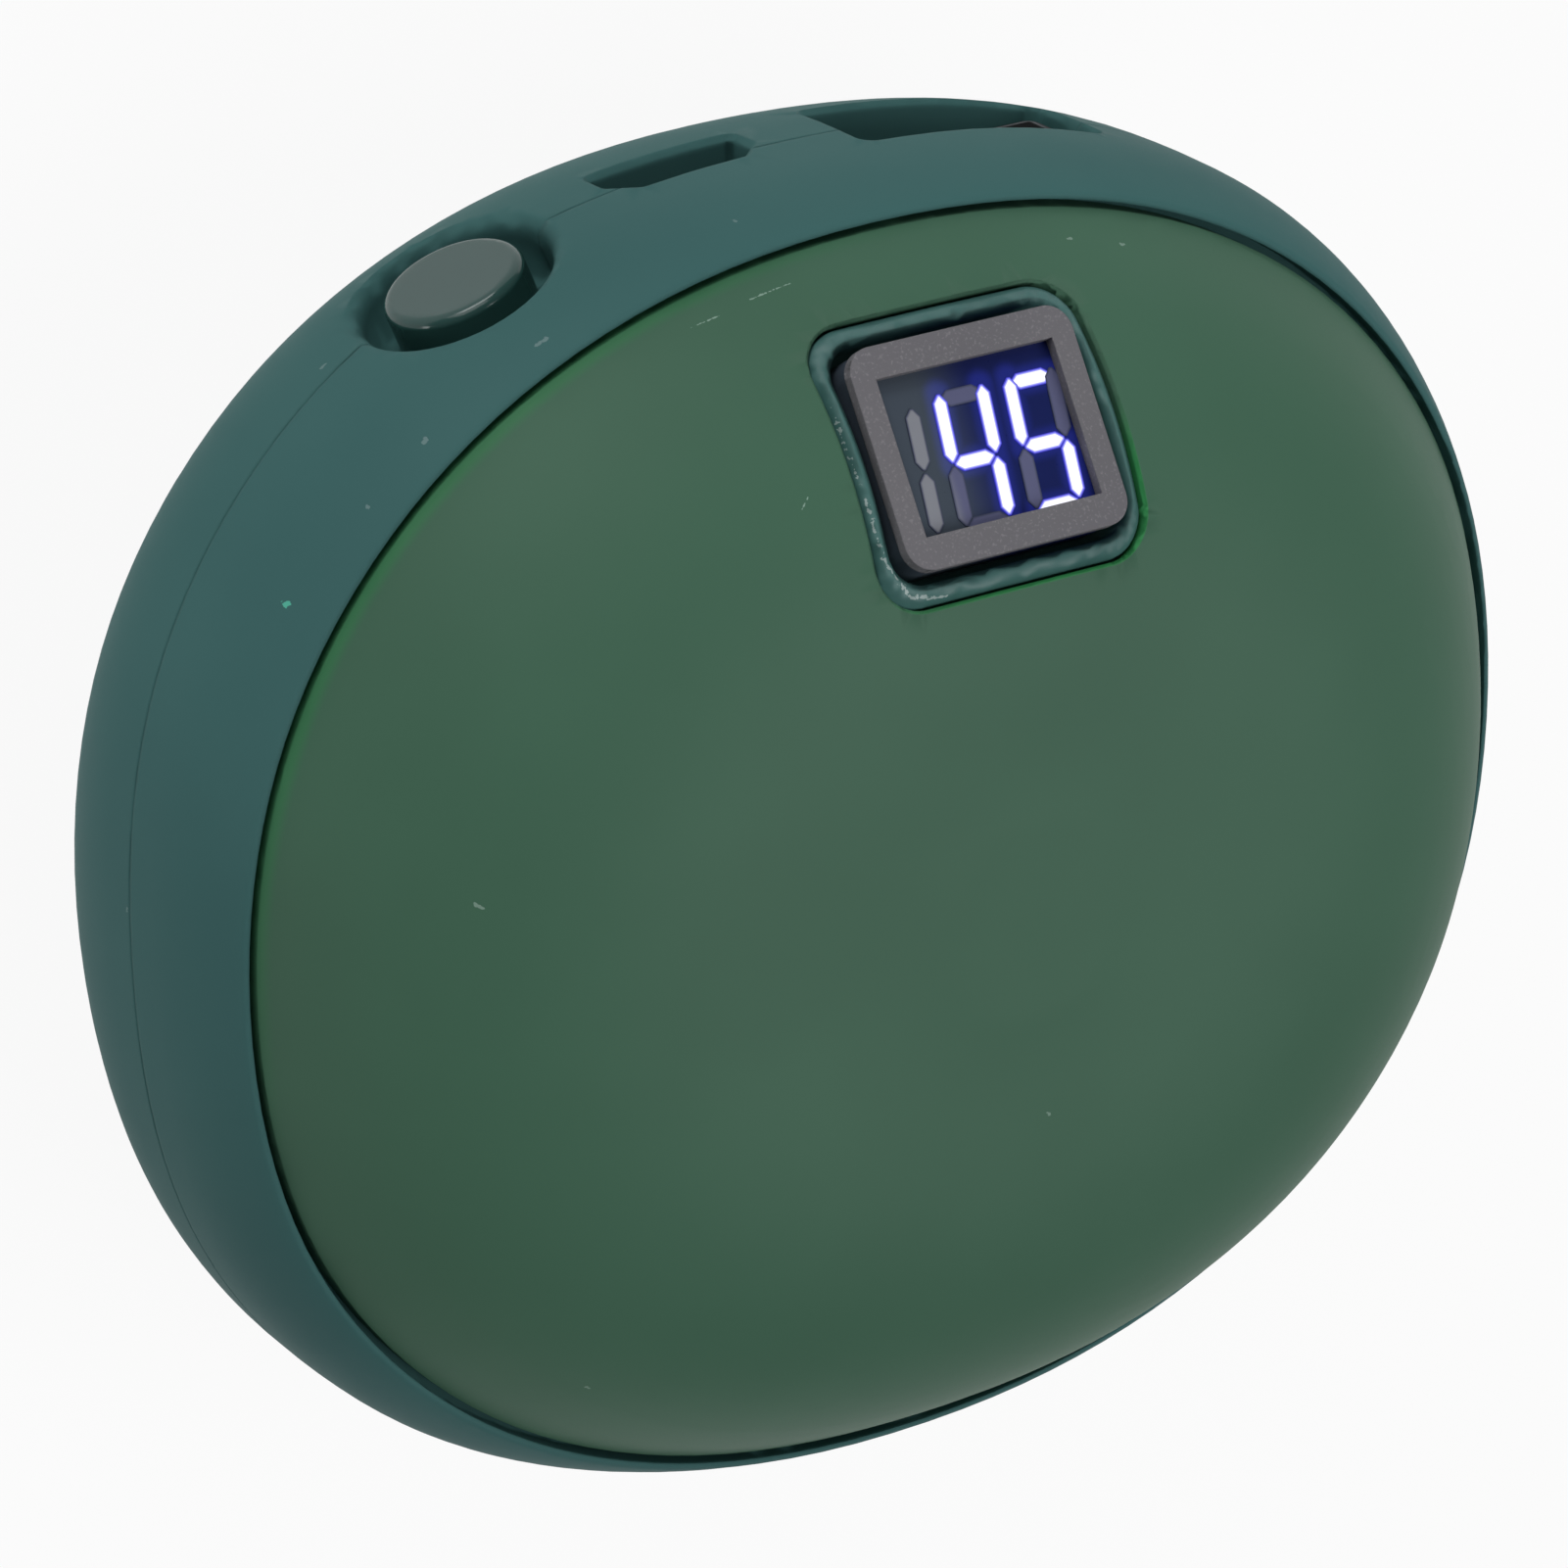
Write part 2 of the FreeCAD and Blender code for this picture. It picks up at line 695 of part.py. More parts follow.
def display_ribbon():
    start, along, corner, reach, end = ribbon_path()
    down = Vector(0, 0, -1)
    half = size("ribbon_thickness") / 2
    centre = corner + along * -reach + Vector(0, along.z, -along.y) * -size("ribbon_bend")
    sides = []
    for offset in (-half, half):
        side = Vector(0, along.z, -along.y) * offset
        first, second = corner + along * -reach + side, corner + down * reach + Vector(0, -1, 0) * offset
        middle = first + second - centre * 2
        middle = centre + middle.normalize() * (first - centre).Length
        sides.append((start + side, first, middle, second, end + Vector(0, -1, 0) * offset))
    edges = []
    for begin, first, middle, second, finish in sides:
        edges.append(Part.LineSegment(begin, first).toShape())
        edges.append(Part.Arc(first, middle, second).toShape())
        edges.append(Part.LineSegment(second, finish).toShape())
    edges.append(Part.LineSegment(sides[0][0], sides[1][0]).toShape())
    edges.append(Part.LineSegment(sides[0][-1], sides[1][-1]).toShape())
    face = Part.Face(Part.Wire(Part.__sortEdges__(edges)))
    strip = face.extrude(Vector(size("ribbon_width"), 0, 0))
    strip.translate(Vector(size("ribbon_place") - size("ribbon_width") / 2, 0, 0))
    add_part("display_ribbon", strip, at_seam)


def ribbon_connector():
    body = new_body("ribbon_connector")
    outline = rectangle("sizes.connector_width", "sizes.connector_depth")
    pad(body, polygon_sketch(body, "XY_Plane", outline), "sizes.connector_height")
    place = Vector(size("ribbon_place"), ribbon_path()[-1].y, size("board_top"))
    body.Placement = at_seam.multiply(Placement(place, Rotation()))


# Button and switch


def button_cap():
    """A turned cap with a rounded edge and, behind the recess, the flange that keeps it in."""
    body = new_body("button_cap")
    radius, flange = "sizes.button_diameter / 2", "sizes.cap_flange_diameter / 2"
    face = "-sizes.button_sink"
    shoulder = "-sizes.recess_depth - sizes.recess_floor - %s" % FIT
    back = shoulder + " - sizes.cap_flange_thickness"
    corners = [
        ("0", back), (flange, back), (flange, shoulder),
        (radius, shoulder), (radius, face), ("0", face),
    ]
    turned = revolve(body, polygon_sketch(body, "XZ_Plane", corners))
    rim = []
    for index, edge in enumerate(turned.Shape.Edges, start=1):
        if edge.BoundBox.ZMin > value(face) - FIT and isinstance(edge.Curve, Part.Circle):
            rim.append("Edge%d" % index)
    fillet(body, turned, rim, "sizes.button_edge")
    body.Placement = at_seam.multiply(at_button)


def switch_plunger():
    plunger = doc.addObject("Part::Cylinder", "switch_plunger")
    plunger.Label = "switch_plunger"
    plunger.setExpression("Radius", "sizes.plunger_diameter / 2")
    plunger.setExpression("Height", "sizes.plunger_reach")
    foot = Placement(Vector(0, 0, cap_flange_back - size("plunger_reach")), Rotation())
    plunger.Placement = at_seam.multiply(at_button).multiply(foot)
    parts.append(plunger)


def switch_body():
    """The switch's box, standing on the board, with a blind bore that the plunger moves in."""
    body = new_body("switch_body")
    side = "sizes.switch_width / 2"
    floor, top = "sizes.board_top", "sizes.board_top + sizes.switch_height"
    corners = [("-" + side, floor), (side, floor), (side, top), ("-" + side, top)]
    pad(body, polygon_sketch(body, "XY_Plane", corners, "-sizes.switch_depth"), "sizes.switch_depth")
    bore = body.newObject("Sketcher::SketchObject", "switch_bore")
    bore.AttachmentSupport = [(origin_plane(body, "XY_Plane"), "")]
    bore.MapMode = "FlatFace"
    radius = "sizes.plunger_diameter / 2 + 2 * %s" % FIT
    bore.addGeometry(Part.Circle(Vector(), Vector(0, 0, 1), value(radius)))
    bore.addConstraint(Sketcher.Constraint("Coincident", 0, 3, -1, 1))
    held = bore.addConstraint(Sketcher.Constraint("Radius", 0, value(radius)))
    bore.setExpression("Constraints[%d]" % held, radius)
    pocket(body, bore, "sizes.plunger_reach")
    body.Placement = at_seam.multiply(at_button).multiply(Placement(Vector(0, 0, switch_front), Rotation()))


# Sockets


def contact_set(name, places, level, place):
    """A socket's contacts: flat strips along its tongue, one at each place across it."""
    strips = []
    for index, across in enumerate(places, start=1):
        strip = doc.addObject("Part::Box", "%s_contact_%d" % (name, index))
        strip.setExpression("Length", "sizes.%s_contact_width" % name)
        strip.setExpression("Width", "sizes.%s_contact_thickness" % name)
        strip.setExpression("Height", "sizes.%s_tongue_length - sizes.contact_setback" % name)
        foot = size("socket_wall") - size(name + "_length") + FIT + size(name + "_base")
        corner = Vector(across - size(name + "_contact_width") / 2, level, foot)
        strip.Placement = place.multiply(Placement(corner, Rotation()))
        strips.append(strip)
    contacts = doc.addObject("Part::Compound", name + "_contacts")
    contacts.Label = name + "_contacts"
    contacts.Links = strips
    parts.append(contacts)


def usb_a_socket():
    """The output socket: a folded metal shell, a plastic tongue on a base, and contacts under the tongue."""
    place = at_seam.multiply(socket_place("usb_a"))
    shell = new_body("usb_a_shell")
    outer = pad(
        shell,
        polygon_sketch(
            shell, "XY_Plane", rectangle("sizes.usb_a_width", "sizes.usb_a_height"), "-sizes.usb_a_length"
        ),
        "sizes.usb_a_length",
    )
    fillet(shell, outer, upright_edges(outer.Shape), "2 * sizes.socket_wall")
    walls = " - 2 * sizes.socket_wall"
    inside = rectangle("sizes.usb_a_width" + walls, "sizes.usb_a_height" + walls)
    pocket(shell, polygon_sketch(shell, "XY_Plane", inside), "sizes.usb_a_length - sizes.socket_wall")
    shell.Placement = place
    tongue = new_body("usb_a_tongue")
    room = walls + " - 2 * %s" % FIT
    block = rectangle("sizes.usb_a_width" + room, "sizes.usb_a_height" + room)
    foot = "sizes.socket_wall - sizes.usb_a_length + %s" % FIT
    pad(tongue, polygon_sketch(tongue, "XY_Plane", block, foot), "sizes.usb_a_base")
    side = "sizes.usb_a_tongue_width / 2"
    low = "-sizes.usb_a_tongue_rise - sizes.usb_a_tongue_thickness / 2"
    high = "sizes.usb_a_tongue_thickness / 2 - sizes.usb_a_tongue_rise"
    blade = [("-" + side, low), (side, low), (side, high), ("-" + side, high)]
    reach = "sizes.usb_a_base + sizes.usb_a_tongue_length"
    pad(tongue, polygon_sketch(tongue, "XY_Plane", blade, foot), reach)
    tongue.Placement = place
    inner, outer = size("usb_a_inner_contact"), size("usb_a_outer_contact")
    contact_set("usb_a", (-outer, -inner, inner, outer), value(high), place)


def micro_corners(margin):
    """The charging socket's outline as expressions, drawn in by a margin."""
    across = "(sizes.micro_usb_width / 2 - %s)" % margin
    along = "(sizes.micro_usb_height / 2 - %s)" % margin
    bevel = "sizes.micro_usb_bevel"
    return [
        ("-" + across, along), ("-" + across, bevel + " - " + along), (bevel + " - " + across, "-" + along),
        (across + " - " + bevel, "-" + along), (across, bevel + " - " + along), (across, along),
    ]


def micro_usb_socket():
    """The charging socket: a six-sided shell, a thin tongue on a base and five contacts."""
    place = at_seam.multiply(socket_place("micro_usb"))
    shell = new_body("micro_usb_shell")
    outer = polygon_sketch(shell, "XY_Plane", micro_corners("0"), "-sizes.micro_usb_length")
    pad(shell, outer, "sizes.micro_usb_length")
    inside = polygon_sketch(shell, "XY_Plane", micro_corners("sizes.socket_wall"))
    pocket(shell, inside, "sizes.micro_usb_length - sizes.socket_wall")
    shell.Placement = place
    tongue = new_body("micro_usb_tongue")
    foot = "sizes.socket_wall - sizes.micro_usb_length + %s" % FIT
    base = micro_corners("sizes.socket_wall - %s" % FIT)
    pad(tongue, polygon_sketch(tongue, "XY_Plane", base, foot), "sizes.micro_usb_base")
    blade = rectangle("sizes.micro_usb_tongue_width", "sizes.micro_usb_tongue_thickness")
    reach = "sizes.micro_usb_base + sizes.micro_usb_tongue_length"
    pad(tongue, polygon_sketch(tongue, "XY_Plane", blade, foot), reach)
    tongue.Placement = place
    places = [step * size("micro_usb_contact_pitch") for step in (-2, -1, 0, 1, 2)]
    contact_set("micro_usb", places, size("micro_usb_tongue_thickness") / 2, place)


# Circuit board


def main_board():
    """A board cut to the inside of the frame, with notches for the button's cup and the sunk sockets."""
    thickness, clearance = size("board_thickness"), size("board_clearance")
    low = size("board_top") - thickness
    outline = oval_prism(
        inner_x - clearance, inner_y - clearance, size("outline_power"), low, size("board_top")
    )
    strip = Part.makeBox(2 * half_x, size("board_depth"), thickness, Vector(-half_x, board_back, low))
    cup = size("recess_diameter") / 2 + size("recess_wall") + clearance
    notch = Part.makeBox(2 * cup, 2 * cup, SPARE - switch_front, Vector(-cup, -cup, switch_front))
    board = outline.common(strip).cut([moved(notch, at_button)] + socket_openings())
    holes = []
    for x, y in board_screw_places():
        radius = size("board_screw_diameter") / 2 + size("screw_clearance")
        holes.append(Part.makeCylinder(radius, thickness, Vector(x, y, low)))
    add_part("main_board", board.cut(holes), at_seam)


def board_block(label, name, height, across):
    """A square moulded component that stands on the board."""
    body = new_body(label)
    side = "sizes.%s_size" % name
    block = pad(body, polygon_sketch(body, "XY_Plane", rectangle(side, side)), height)
    fillet(body, block, upright_edges(block.Shape), "sizes.component_radius")
    place = Vector(across, board_back + size(name + "_reach"), size("board_top"))
    body.Placement = at_seam.multiply(Placement(place, Rotation()))


def board_components():
    """The controller, near the board's left end, and the inductor, beside the output socket."""
    board_block("controller_chip", "chip", "sizes.chip_thickness", size("chip_inset") - half_x)
    beside = size("usb_a_place") + size("usb_a_width") / 2 + size("inductor_gap")
    board_block("power_inductor", "inductor", "sizes.inductor_height", beside + size("inductor_size") / 2)


# Cells and their leads


CELL_WIDTH = "sizes.body_width - sizes.board_setback - sizes.board_depth - sizes.cell_gap - sizes.cell_foot"


def pouch_cell(label, low):
    """A pouch cell: a slab with rounded corners and softened rims, as long as its board leaves room for."""
    body = new_body(label)
    outline = rectangle("sizes.cell_length", CELL_WIDTH)
    slab = pad(body, polygon_sketch(body, "XY_Plane", outline), "sizes.cell_thickness")
    rounded = fillet(body, slab, upright_edges(slab.Shape), "sizes.cell_corner")
    rims = []
    for index, edge in enumerate(rounded.Shape.Edges, start=1):
        if edge.BoundBox.ZLength < FIT:
            rims.append("Edge%d" % index)
    softened = body.newObject("PartDesign::Chamfer", label + "_rims")
    softened.Base = (rounded, rims)
    softened.setExpression("Size", "sizes.cell_edge")
    body.Placement = at_seam.multiply(Placement(Vector(0, cell_place, low), Rotation()))


def cells():
    half_tape = size("tape_thickness") / 2
    pouch_cell("front_cell", half_tape)
    pouch_cell("rear_cell", -half_tape - size("cell_thickness"))
    tape = new_body("cell_tape")
    margin = "2 * sizes.cell_corner"
    outline = rectangle("sizes.cell_length - " + margin, CELL_WIDTH + " - " + margin)
    pad(tape, polygon_sketch(tape, "XY_Plane", outline, "-sizes.tape_thickness / 2"), "sizes.tape_thickness")
    tape.Placement = at_seam.multiply(Placement(Vector(0, cell_place, 0), Rotation()))


def protection_board():
    board = doc.addObject("Part::Box", "protection_board")
    board.Label = "protection_board"
    board.setExpression("Length", "sizes.protection_length")
    board.setExpression("Width", "sizes.protection_thickness")
    board.setExpression("Height", "sizes.protection_height")
    corner = Vector(-size("protection_length") / 2, cell_end + FIT, -size("protection_height") / 2)
    board.Placement = at_seam.multiply(Placement(corner, Rotation()))
    parts.append(board)


def lead(label, start, end):
    """A straight stretch of insulated wire."""
    wire = doc.addObject("Part::Cylinder", label)
    wire.Label = label
    wire.setExpression("Radius", "sizes.lead_diameter / 2")
    wire.Height = (end - start).Length
    wire.Placement = at_seam.multiply(Placement(start, Rotation(Vector(0, 0, 1), end - start)))
    return wire


def cell_leads():
    """Two wires from the protection board to pads on the main board, lying on its upper face."""
    start = cell_end + FIT + size("protection_thickness")
    level = size("board_top") + size("lead_diameter") / 2 + FIT
    pad_end = board_back + 2 * size("lead_diameter")
    for label, side in (("positive_lead", 1), ("negative_lead", -1)):
        x = side * size("cell_lead_place")
        parts.append(lead(label, Vector(x, start, level), Vector(x, pad_end, level)))


# Heating films, foam and sensor


def film_inset():
    return size("panel_thickness") + size("film_gap")


def heating_film(front):
    """A film bonded under the panel, following its dome; the front one leaves room for the display."""
    last = DOME_SHARES[-1] if front else rest_share
    inner_face = dome_solid(film_inset() + size("film_thickness"), last, size("film_share"))
    film = dome_solid(film_inset(), last, size("film_share")).cut(inner_face)
    if not front:
        return film.mirror(Vector(), mirrored)
    notch = size("film_notch")
    display_room = size("cutout_height") / 2 + size("surround_flange") + size("film_clearance")
    edge = display_y - display_room
    high = size("band_depth") + size("dome_rise")
    return film.cut(Part.makeBox(notch, half_y, high, Vector(-notch / 2, edge, 0)))


def film_under(x, y):
    """The height of a film's inner face over the seam."""
    inset = film_inset() + size("film_thickness")
    power = size("panel_power")
    share = ((abs(x) / (panel_x - inset)) ** power + (abs(y) / (panel_y - inset)) ** power) ** (1 / power)
    return size("band_depth") + (size("dome_rise") - inset) * (1 - share ** size("dome_power"))


def heating():
    add_part("front_heater", heating_film(True), at_seam)
    add_part("rear_heater", heating_film(False), at_seam)
    stack = size("cell_thickness") + size("tape_thickness") / 2
    foam_x, foam_y = size("foam_length") / 2, size("foam_width") / 2
    high = film_under(0, abs(cell_place) / 2 + foam_y) - FIT
    block = oval_prism(foam_x, foam_y, size("panel_power"), stack, high)
    block.translate(Vector(0, cell_place / 2, 0))
    add_part("front_foam", block, at_seam)
    add_part("rear_foam", block.mirror(Vector(), mirrored), at_seam)


def heater_leads():
    """Two straight wires from the board to each film, clear of the display and the cells."""
    y = board_back + 2 * size("lead_diameter")
    board_low = size("board_top") - size("board_thickness")
    radius = size("lead_diameter") / 2
    starts = {"front": size("board_top") + FIT, "rear": board_low - FIT}
    reach = film_under(size("heater_lead_place") + radius, y + radius) - FIT
    ends = {"front": reach, "rear": -reach}
    for half in starts:
        wires = []
        for name, side in (("left", -1), ("right", 1)):
            x = side * size("heater_lead_place")
            start, end = Vector(x, y, starts[half]), Vector(x, y, ends[half])
            wires.append(lead("%s_%s_wire" % (half, name), start, end))
        pair = doc.addObject("Part::Compound", half + "_heater_leads")
        pair.Label = half + "_heater_leads"
        pair.Links = wires
        parts.append(pair)


def heat_sensor():
    """A small glass bead under the front film."""
    radius, x = size("sensor_diameter") / 2, size("sensor_place")
    level = film_under(abs(x) + radius, 0) - radius - FIT
    bead = doc.addObject("Part::Cylinder", "heat_sensor")
    bead.Label = "heat_sensor"
    bead.setExpression("Radius", "sizes.sensor_diameter / 2")
    bead.setExpression("Height", "sizes.sensor_length")
    start = Vector(x, -size("sensor_length") / 2, level)
    bead.Placement = at_seam.multiply(Placement(start, Rotation(Vector(1, 0, 0), -90)))
    parts.append(bead)


# Screws


def screw_set(label, name, places, placement_of):
    """A set of like screws: one turned screw, copied to each place."""
    head, shank = "sizes.%s_head / 2" % name, "sizes.%s_diameter / 2" % name
    tip, top = "-sizes.%s_length" % name, "sizes.%s_head_height" % name
    pattern = doc.addObject("PartDesign::Body", name)
    corners = [("0", tip), (shank, tip), (shank, "0"), (head, "0"), (head, top), ("0", top)]
    revolve(pattern, polygon_sketch(pattern, "XZ_Plane", corners))
    copies = [moved(pattern.Shape, placement_of(x, y)) for x, y in places]
    add_part(label, Part.makeCompound(copies), at_seam)


def screws():
    upside_down = Rotation(Vector(1, 0, 0), 180)
    screw_set(
        "frame_screws", "frame_screw", frame_screw_places(),
        lambda x, y: Placement(Vector(x, y, -screw_seat()), upside_down),
    )
    screw_set(
        "board_screws", "board_screw", board_screw_places(),
        lambda x, y: Placement(Vector(x, y, size("board_top")), Rotation()),
    )


# The whole object

front_frame()
rear_frame()
front_panel()
rear_panel()
display_surround()
display_bezel()
display_module()
display_ribbon()
ribbon_connector()
button_cap()
switch_plunger()
switch_body()
usb_a_socket()
micro_usb_socket()
main_board()
board_components()
cells()
protection_board()
cell_leads()
heating()
heater_leads()
heat_sensor()
screws()

doc.recompute()
for item in doc.Objects:
    if "Invalid" in item.State or "Error" in item.State:
        raise ValueError("%s did not build: %s" % (item.Label, item.State))
os.makedirs("parts", exist_ok=True)
for part in parts:
    shape = part.Shape
    if shape.isNull() or not shape.isValid():
        raise ValueError("%s has no valid shape" % part.Label)
    shape.exportStep("parts/%s.step" % part.Label)
    print("%-20s %2d solids %10.2f mm3" % (part.Label, len(shape.Solids), shape.Volume))
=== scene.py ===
# %% [markdown]
# A rechargeable hand warmer: a pebble of two painted metal panels in a soft moulded frame, with a push
# button, two sockets and a lit reading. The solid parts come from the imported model, which is the fixed frame
# here. This script gives them their finishes and adds what is too fine for the solids: the strokes of the
# reading, softened edges, dust and nicks.

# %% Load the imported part
import json
import math

import bpy
from mathutils import Matrix, Vector


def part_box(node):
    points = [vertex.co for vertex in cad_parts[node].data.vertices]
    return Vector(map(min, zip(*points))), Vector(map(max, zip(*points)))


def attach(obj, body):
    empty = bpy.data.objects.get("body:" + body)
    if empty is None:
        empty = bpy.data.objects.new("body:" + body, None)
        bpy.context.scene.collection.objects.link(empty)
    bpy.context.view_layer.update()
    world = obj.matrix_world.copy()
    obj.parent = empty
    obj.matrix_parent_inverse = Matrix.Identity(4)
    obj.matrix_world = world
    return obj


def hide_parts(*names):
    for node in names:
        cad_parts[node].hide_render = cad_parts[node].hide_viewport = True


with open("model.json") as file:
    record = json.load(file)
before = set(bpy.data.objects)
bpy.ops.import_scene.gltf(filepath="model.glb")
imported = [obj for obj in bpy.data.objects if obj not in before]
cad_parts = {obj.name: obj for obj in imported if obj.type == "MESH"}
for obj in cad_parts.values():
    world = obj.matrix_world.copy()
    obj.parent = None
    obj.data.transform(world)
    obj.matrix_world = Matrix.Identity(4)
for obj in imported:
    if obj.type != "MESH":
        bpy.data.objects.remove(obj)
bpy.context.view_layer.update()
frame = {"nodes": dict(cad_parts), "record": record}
nodes = frame["nodes"]
MM = 0.001
bpy.ops.object.select_all(action="DESELECT")

# %% [markdown]
# The camera. The photograph looks at the front panel from its upper left, with the sockets at the top of
# the picture. The part lies on its back here, so the camera hangs above it and is rolled. It was found by
# fitting the outline, the gap round the panel and the display to the picture. A long lens keeps the view
# nearly flat.

# %% Camera
SEAM_HEIGHT = (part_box("front_frame")[0].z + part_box("rear_frame")[1].z) / 2
camera_right = Vector((0.84452, -0.02612, 0.53488)).normalized()
camera_up = Vector((0.22752, 0.92168, -0.31422)).normalized()
camera_back = camera_right.cross(camera_up)
camera_place = Vector((-174.176, 138.613, 279.986)) * MM + Vector((0, 0, SEAM_HEIGHT))
camera_data = bpy.data.cameras.new("camera")
camera_data.sensor_width = 36
camera_data.lens = 167.86
camera = bpy.data.objects.new("camera", camera_data)
bpy.context.scene.collection.objects.link(camera)
turn = Matrix((camera_right, camera_up, camera_back)).transposed().to_4x4()
camera.matrix_world = Matrix.Translation(camera_place) @ turn
bpy.context.scene.camera = camera
bpy.context.scene.view_settings.view_transform = "Standard"
print("seam at", round(SEAM_HEIGHT / MM, 3), "mm, camera at", [round(x / MM, 1) for x in camera_place])

# %% [markdown]
# The display's own plane. The plate lies along the slope of the dome, so the strokes of the reading and the
# marks round the cut-out are easiest to place in a plane of their own: across, up and out of the plate. The
# slope is known from the model, and the middle of the plate gives the place.

# %% Display plane
DISPLAY_TILT = math.radians(31.424)
PLATE_SINK, PLATE_THICKNESS = 0.1 * MM, 0.6 * MM
display_across = Vector((1, 0, 0))
display_up = Vector((0, math.cos(DISPLAY_TILT), -math.sin(DISPLAY_TILT)))
display_out = display_across.cross(display_up)
plate_low, plate_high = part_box("display_bezel")
plate_middle = (Vector(plate_low) + Vector(plate_high)) / 2
display_place = plate_middle + display_out * (PLATE_SINK + PLATE_THICKNESS / 2)
display_turn = Matrix((display_across, display_up, display_out)).transposed().to_4x4()
print("display at", [round(x / MM, 2) for x in display_place])

# %% [markdown]
# Helpers for materials. A finish is a tree of nodes that ends in one Principled shader. Writing the same
# three lines for each node is tedious, so one helper adds a node with its settings and others name the
# common sums.

# %% Node helpers


def set_inputs(tree, node, values):
    """Set input sockets by name or number, to a plain value or from another node's output."""
    for name, value in values.items():
        if isinstance(value, bpy.types.NodeSocket):
            tree.links.new(value, node.inputs[name])
        else:
            node.inputs[name].default_value = value


def add_node(tree, kind, values, **settings):
    node = tree.nodes.new(kind)
    for name, setting in settings.items():
        setattr(node, name, setting)
    set_inputs(tree, node, values)
    return node


def math_node(tree, operation, first, second=0.0, third=0.0):
    return add_node(tree, "ShaderNodeMath", {0: first, 1: second, 2: third}, operation=operation).outputs[0]


def vector_node(tree, operation, first, second=(0, 0, 0)):
    return add_node(tree, "ShaderNodeVectorMath", {0: first, 1: second}, operation=operation)


def mix_colour(tree, share, first, second):
    """Two colours mixed by a share that changes over the surface."""
    node = add_node(tree, "ShaderNodeMix", {0: share, 6: first, 7: second}, data_type="RGBA")
    return node.outputs[2]


def ramp(tree, value, low, high):
    """A value stretched smoothly, so that low gives 0 and high gives 1."""
    values = {"Value": value, "From Min": low, "From Max": high}
    return add_node(tree, "ShaderNodeMapRange", values, interpolation_type="SMOOTHSTEP").outputs[0]


def start_material(name):
    """An empty material; returns it with its tree and its Principled shader."""
    material = bpy.data.materials.new(name)
    material.use_nodes = True
    tree = material.node_tree
    return material, tree, tree.nodes["Principled BSDF"]


def object_place(tree):
    """The place on the surface in the part's own frame, in metres."""
    return add_node(tree, "ShaderNodeTexCoord", {}).outputs["Object"]


def colour(red, green, blue):
    return (red, green, blue, 1.0)


# %% [markdown]
# Effects that several finishes share. Moulded plastic and paint both have a fine grain that breaks up the
# highlights and a slow drift of tone. Both carry dust and nicks. Each effect is a node group, built once and
# placed in each material with its own values, and it puts out only masks and heights. Most specks of dust
# are small, so their size follows the fourth power of a random number.

# %% Shared effects: grain and dust
VECTOR, NUMBER = "NodeSocketVector", "NodeSocketFloat"
DRIFT_SCALE, LARGEST_SPECK = 70.0, 0.05


def start_group(name, inputs, outputs):
    """An empty node group with named sockets; returns it with its inputs and outputs."""
    group = bpy.data.node_groups.new(name, "ShaderNodeTree")
    for title, kind in inputs:
        group.interface.new_socket(name=title, in_out="INPUT", socket_type=kind)
    for title in outputs:
        group.interface.new_socket(name=title, in_out="OUTPUT", socket_type=NUMBER)
    return group, group.nodes.new("NodeGroupInput").outputs, group.nodes.new("NodeGroupOutput").inputs


def place_group(tree, group, values):
    node = tree.nodes.new("ShaderNodeGroup")
    node.node_tree = group
    set_inputs(tree, node, values)
    return node.outputs


grain_group, given, made = start_group(
    "fine_grain", [("Place", VECTOR), ("Scale", NUMBER)], ["Height", "Drift"]
)
fine = add_node(
    grain_group, "ShaderNodeTexNoise",
    {"Vector": given["Place"], "Scale": given["Scale"], "Detail": 3.0, "Roughness": 0.6},
)
slow = add_node(
    grain_group, "ShaderNodeTexNoise", {"Vector": given["Place"], "Scale": DRIFT_SCALE, "Detail": 2.0}
)
grain_group.links.new(fine.outputs[0], made["Height"])
grain_group.links.new(slow.outputs[0], made["Drift"])

dust_group, given, made = start_group(
    "dust_specks", [("Place", VECTOR), ("Scale", NUMBER), ("Share", NUMBER)], ["Mask"]
)
cells = add_node(dust_group, "ShaderNodeTexVoronoi", {"Vector": given["Place"], "Scale": given["Scale"]})
chance = add_node(dust_group, "ShaderNodeSeparateColor", {0: cells.outputs["Color"]}).outputs
speck_share = math_node(dust_group, "POWER", chance[1], 4.0)
radius = math_node(dust_group, "MULTIPLY", speck_share, LARGEST_SPECK)
inside = math_node(dust_group, "LESS_THAN", cells.outputs["Distance"], radius)
present = math_node(dust_group, "LESS_THAN", chance[0], given["Share"])
dust_group.links.new(math_node(dust_group, "MULTIPLY", inside, present), made["Mask"])
print("groups:", grain_group.name, dust_group.name)

# %% [markdown]
# A nick is a short scratch or a speck: all that lies near the line between two points, broken up by a fine
# noise. The same distance, faded softly, gives the glow that a lit stroke throws on the face behind it, so
# both come from one measure.

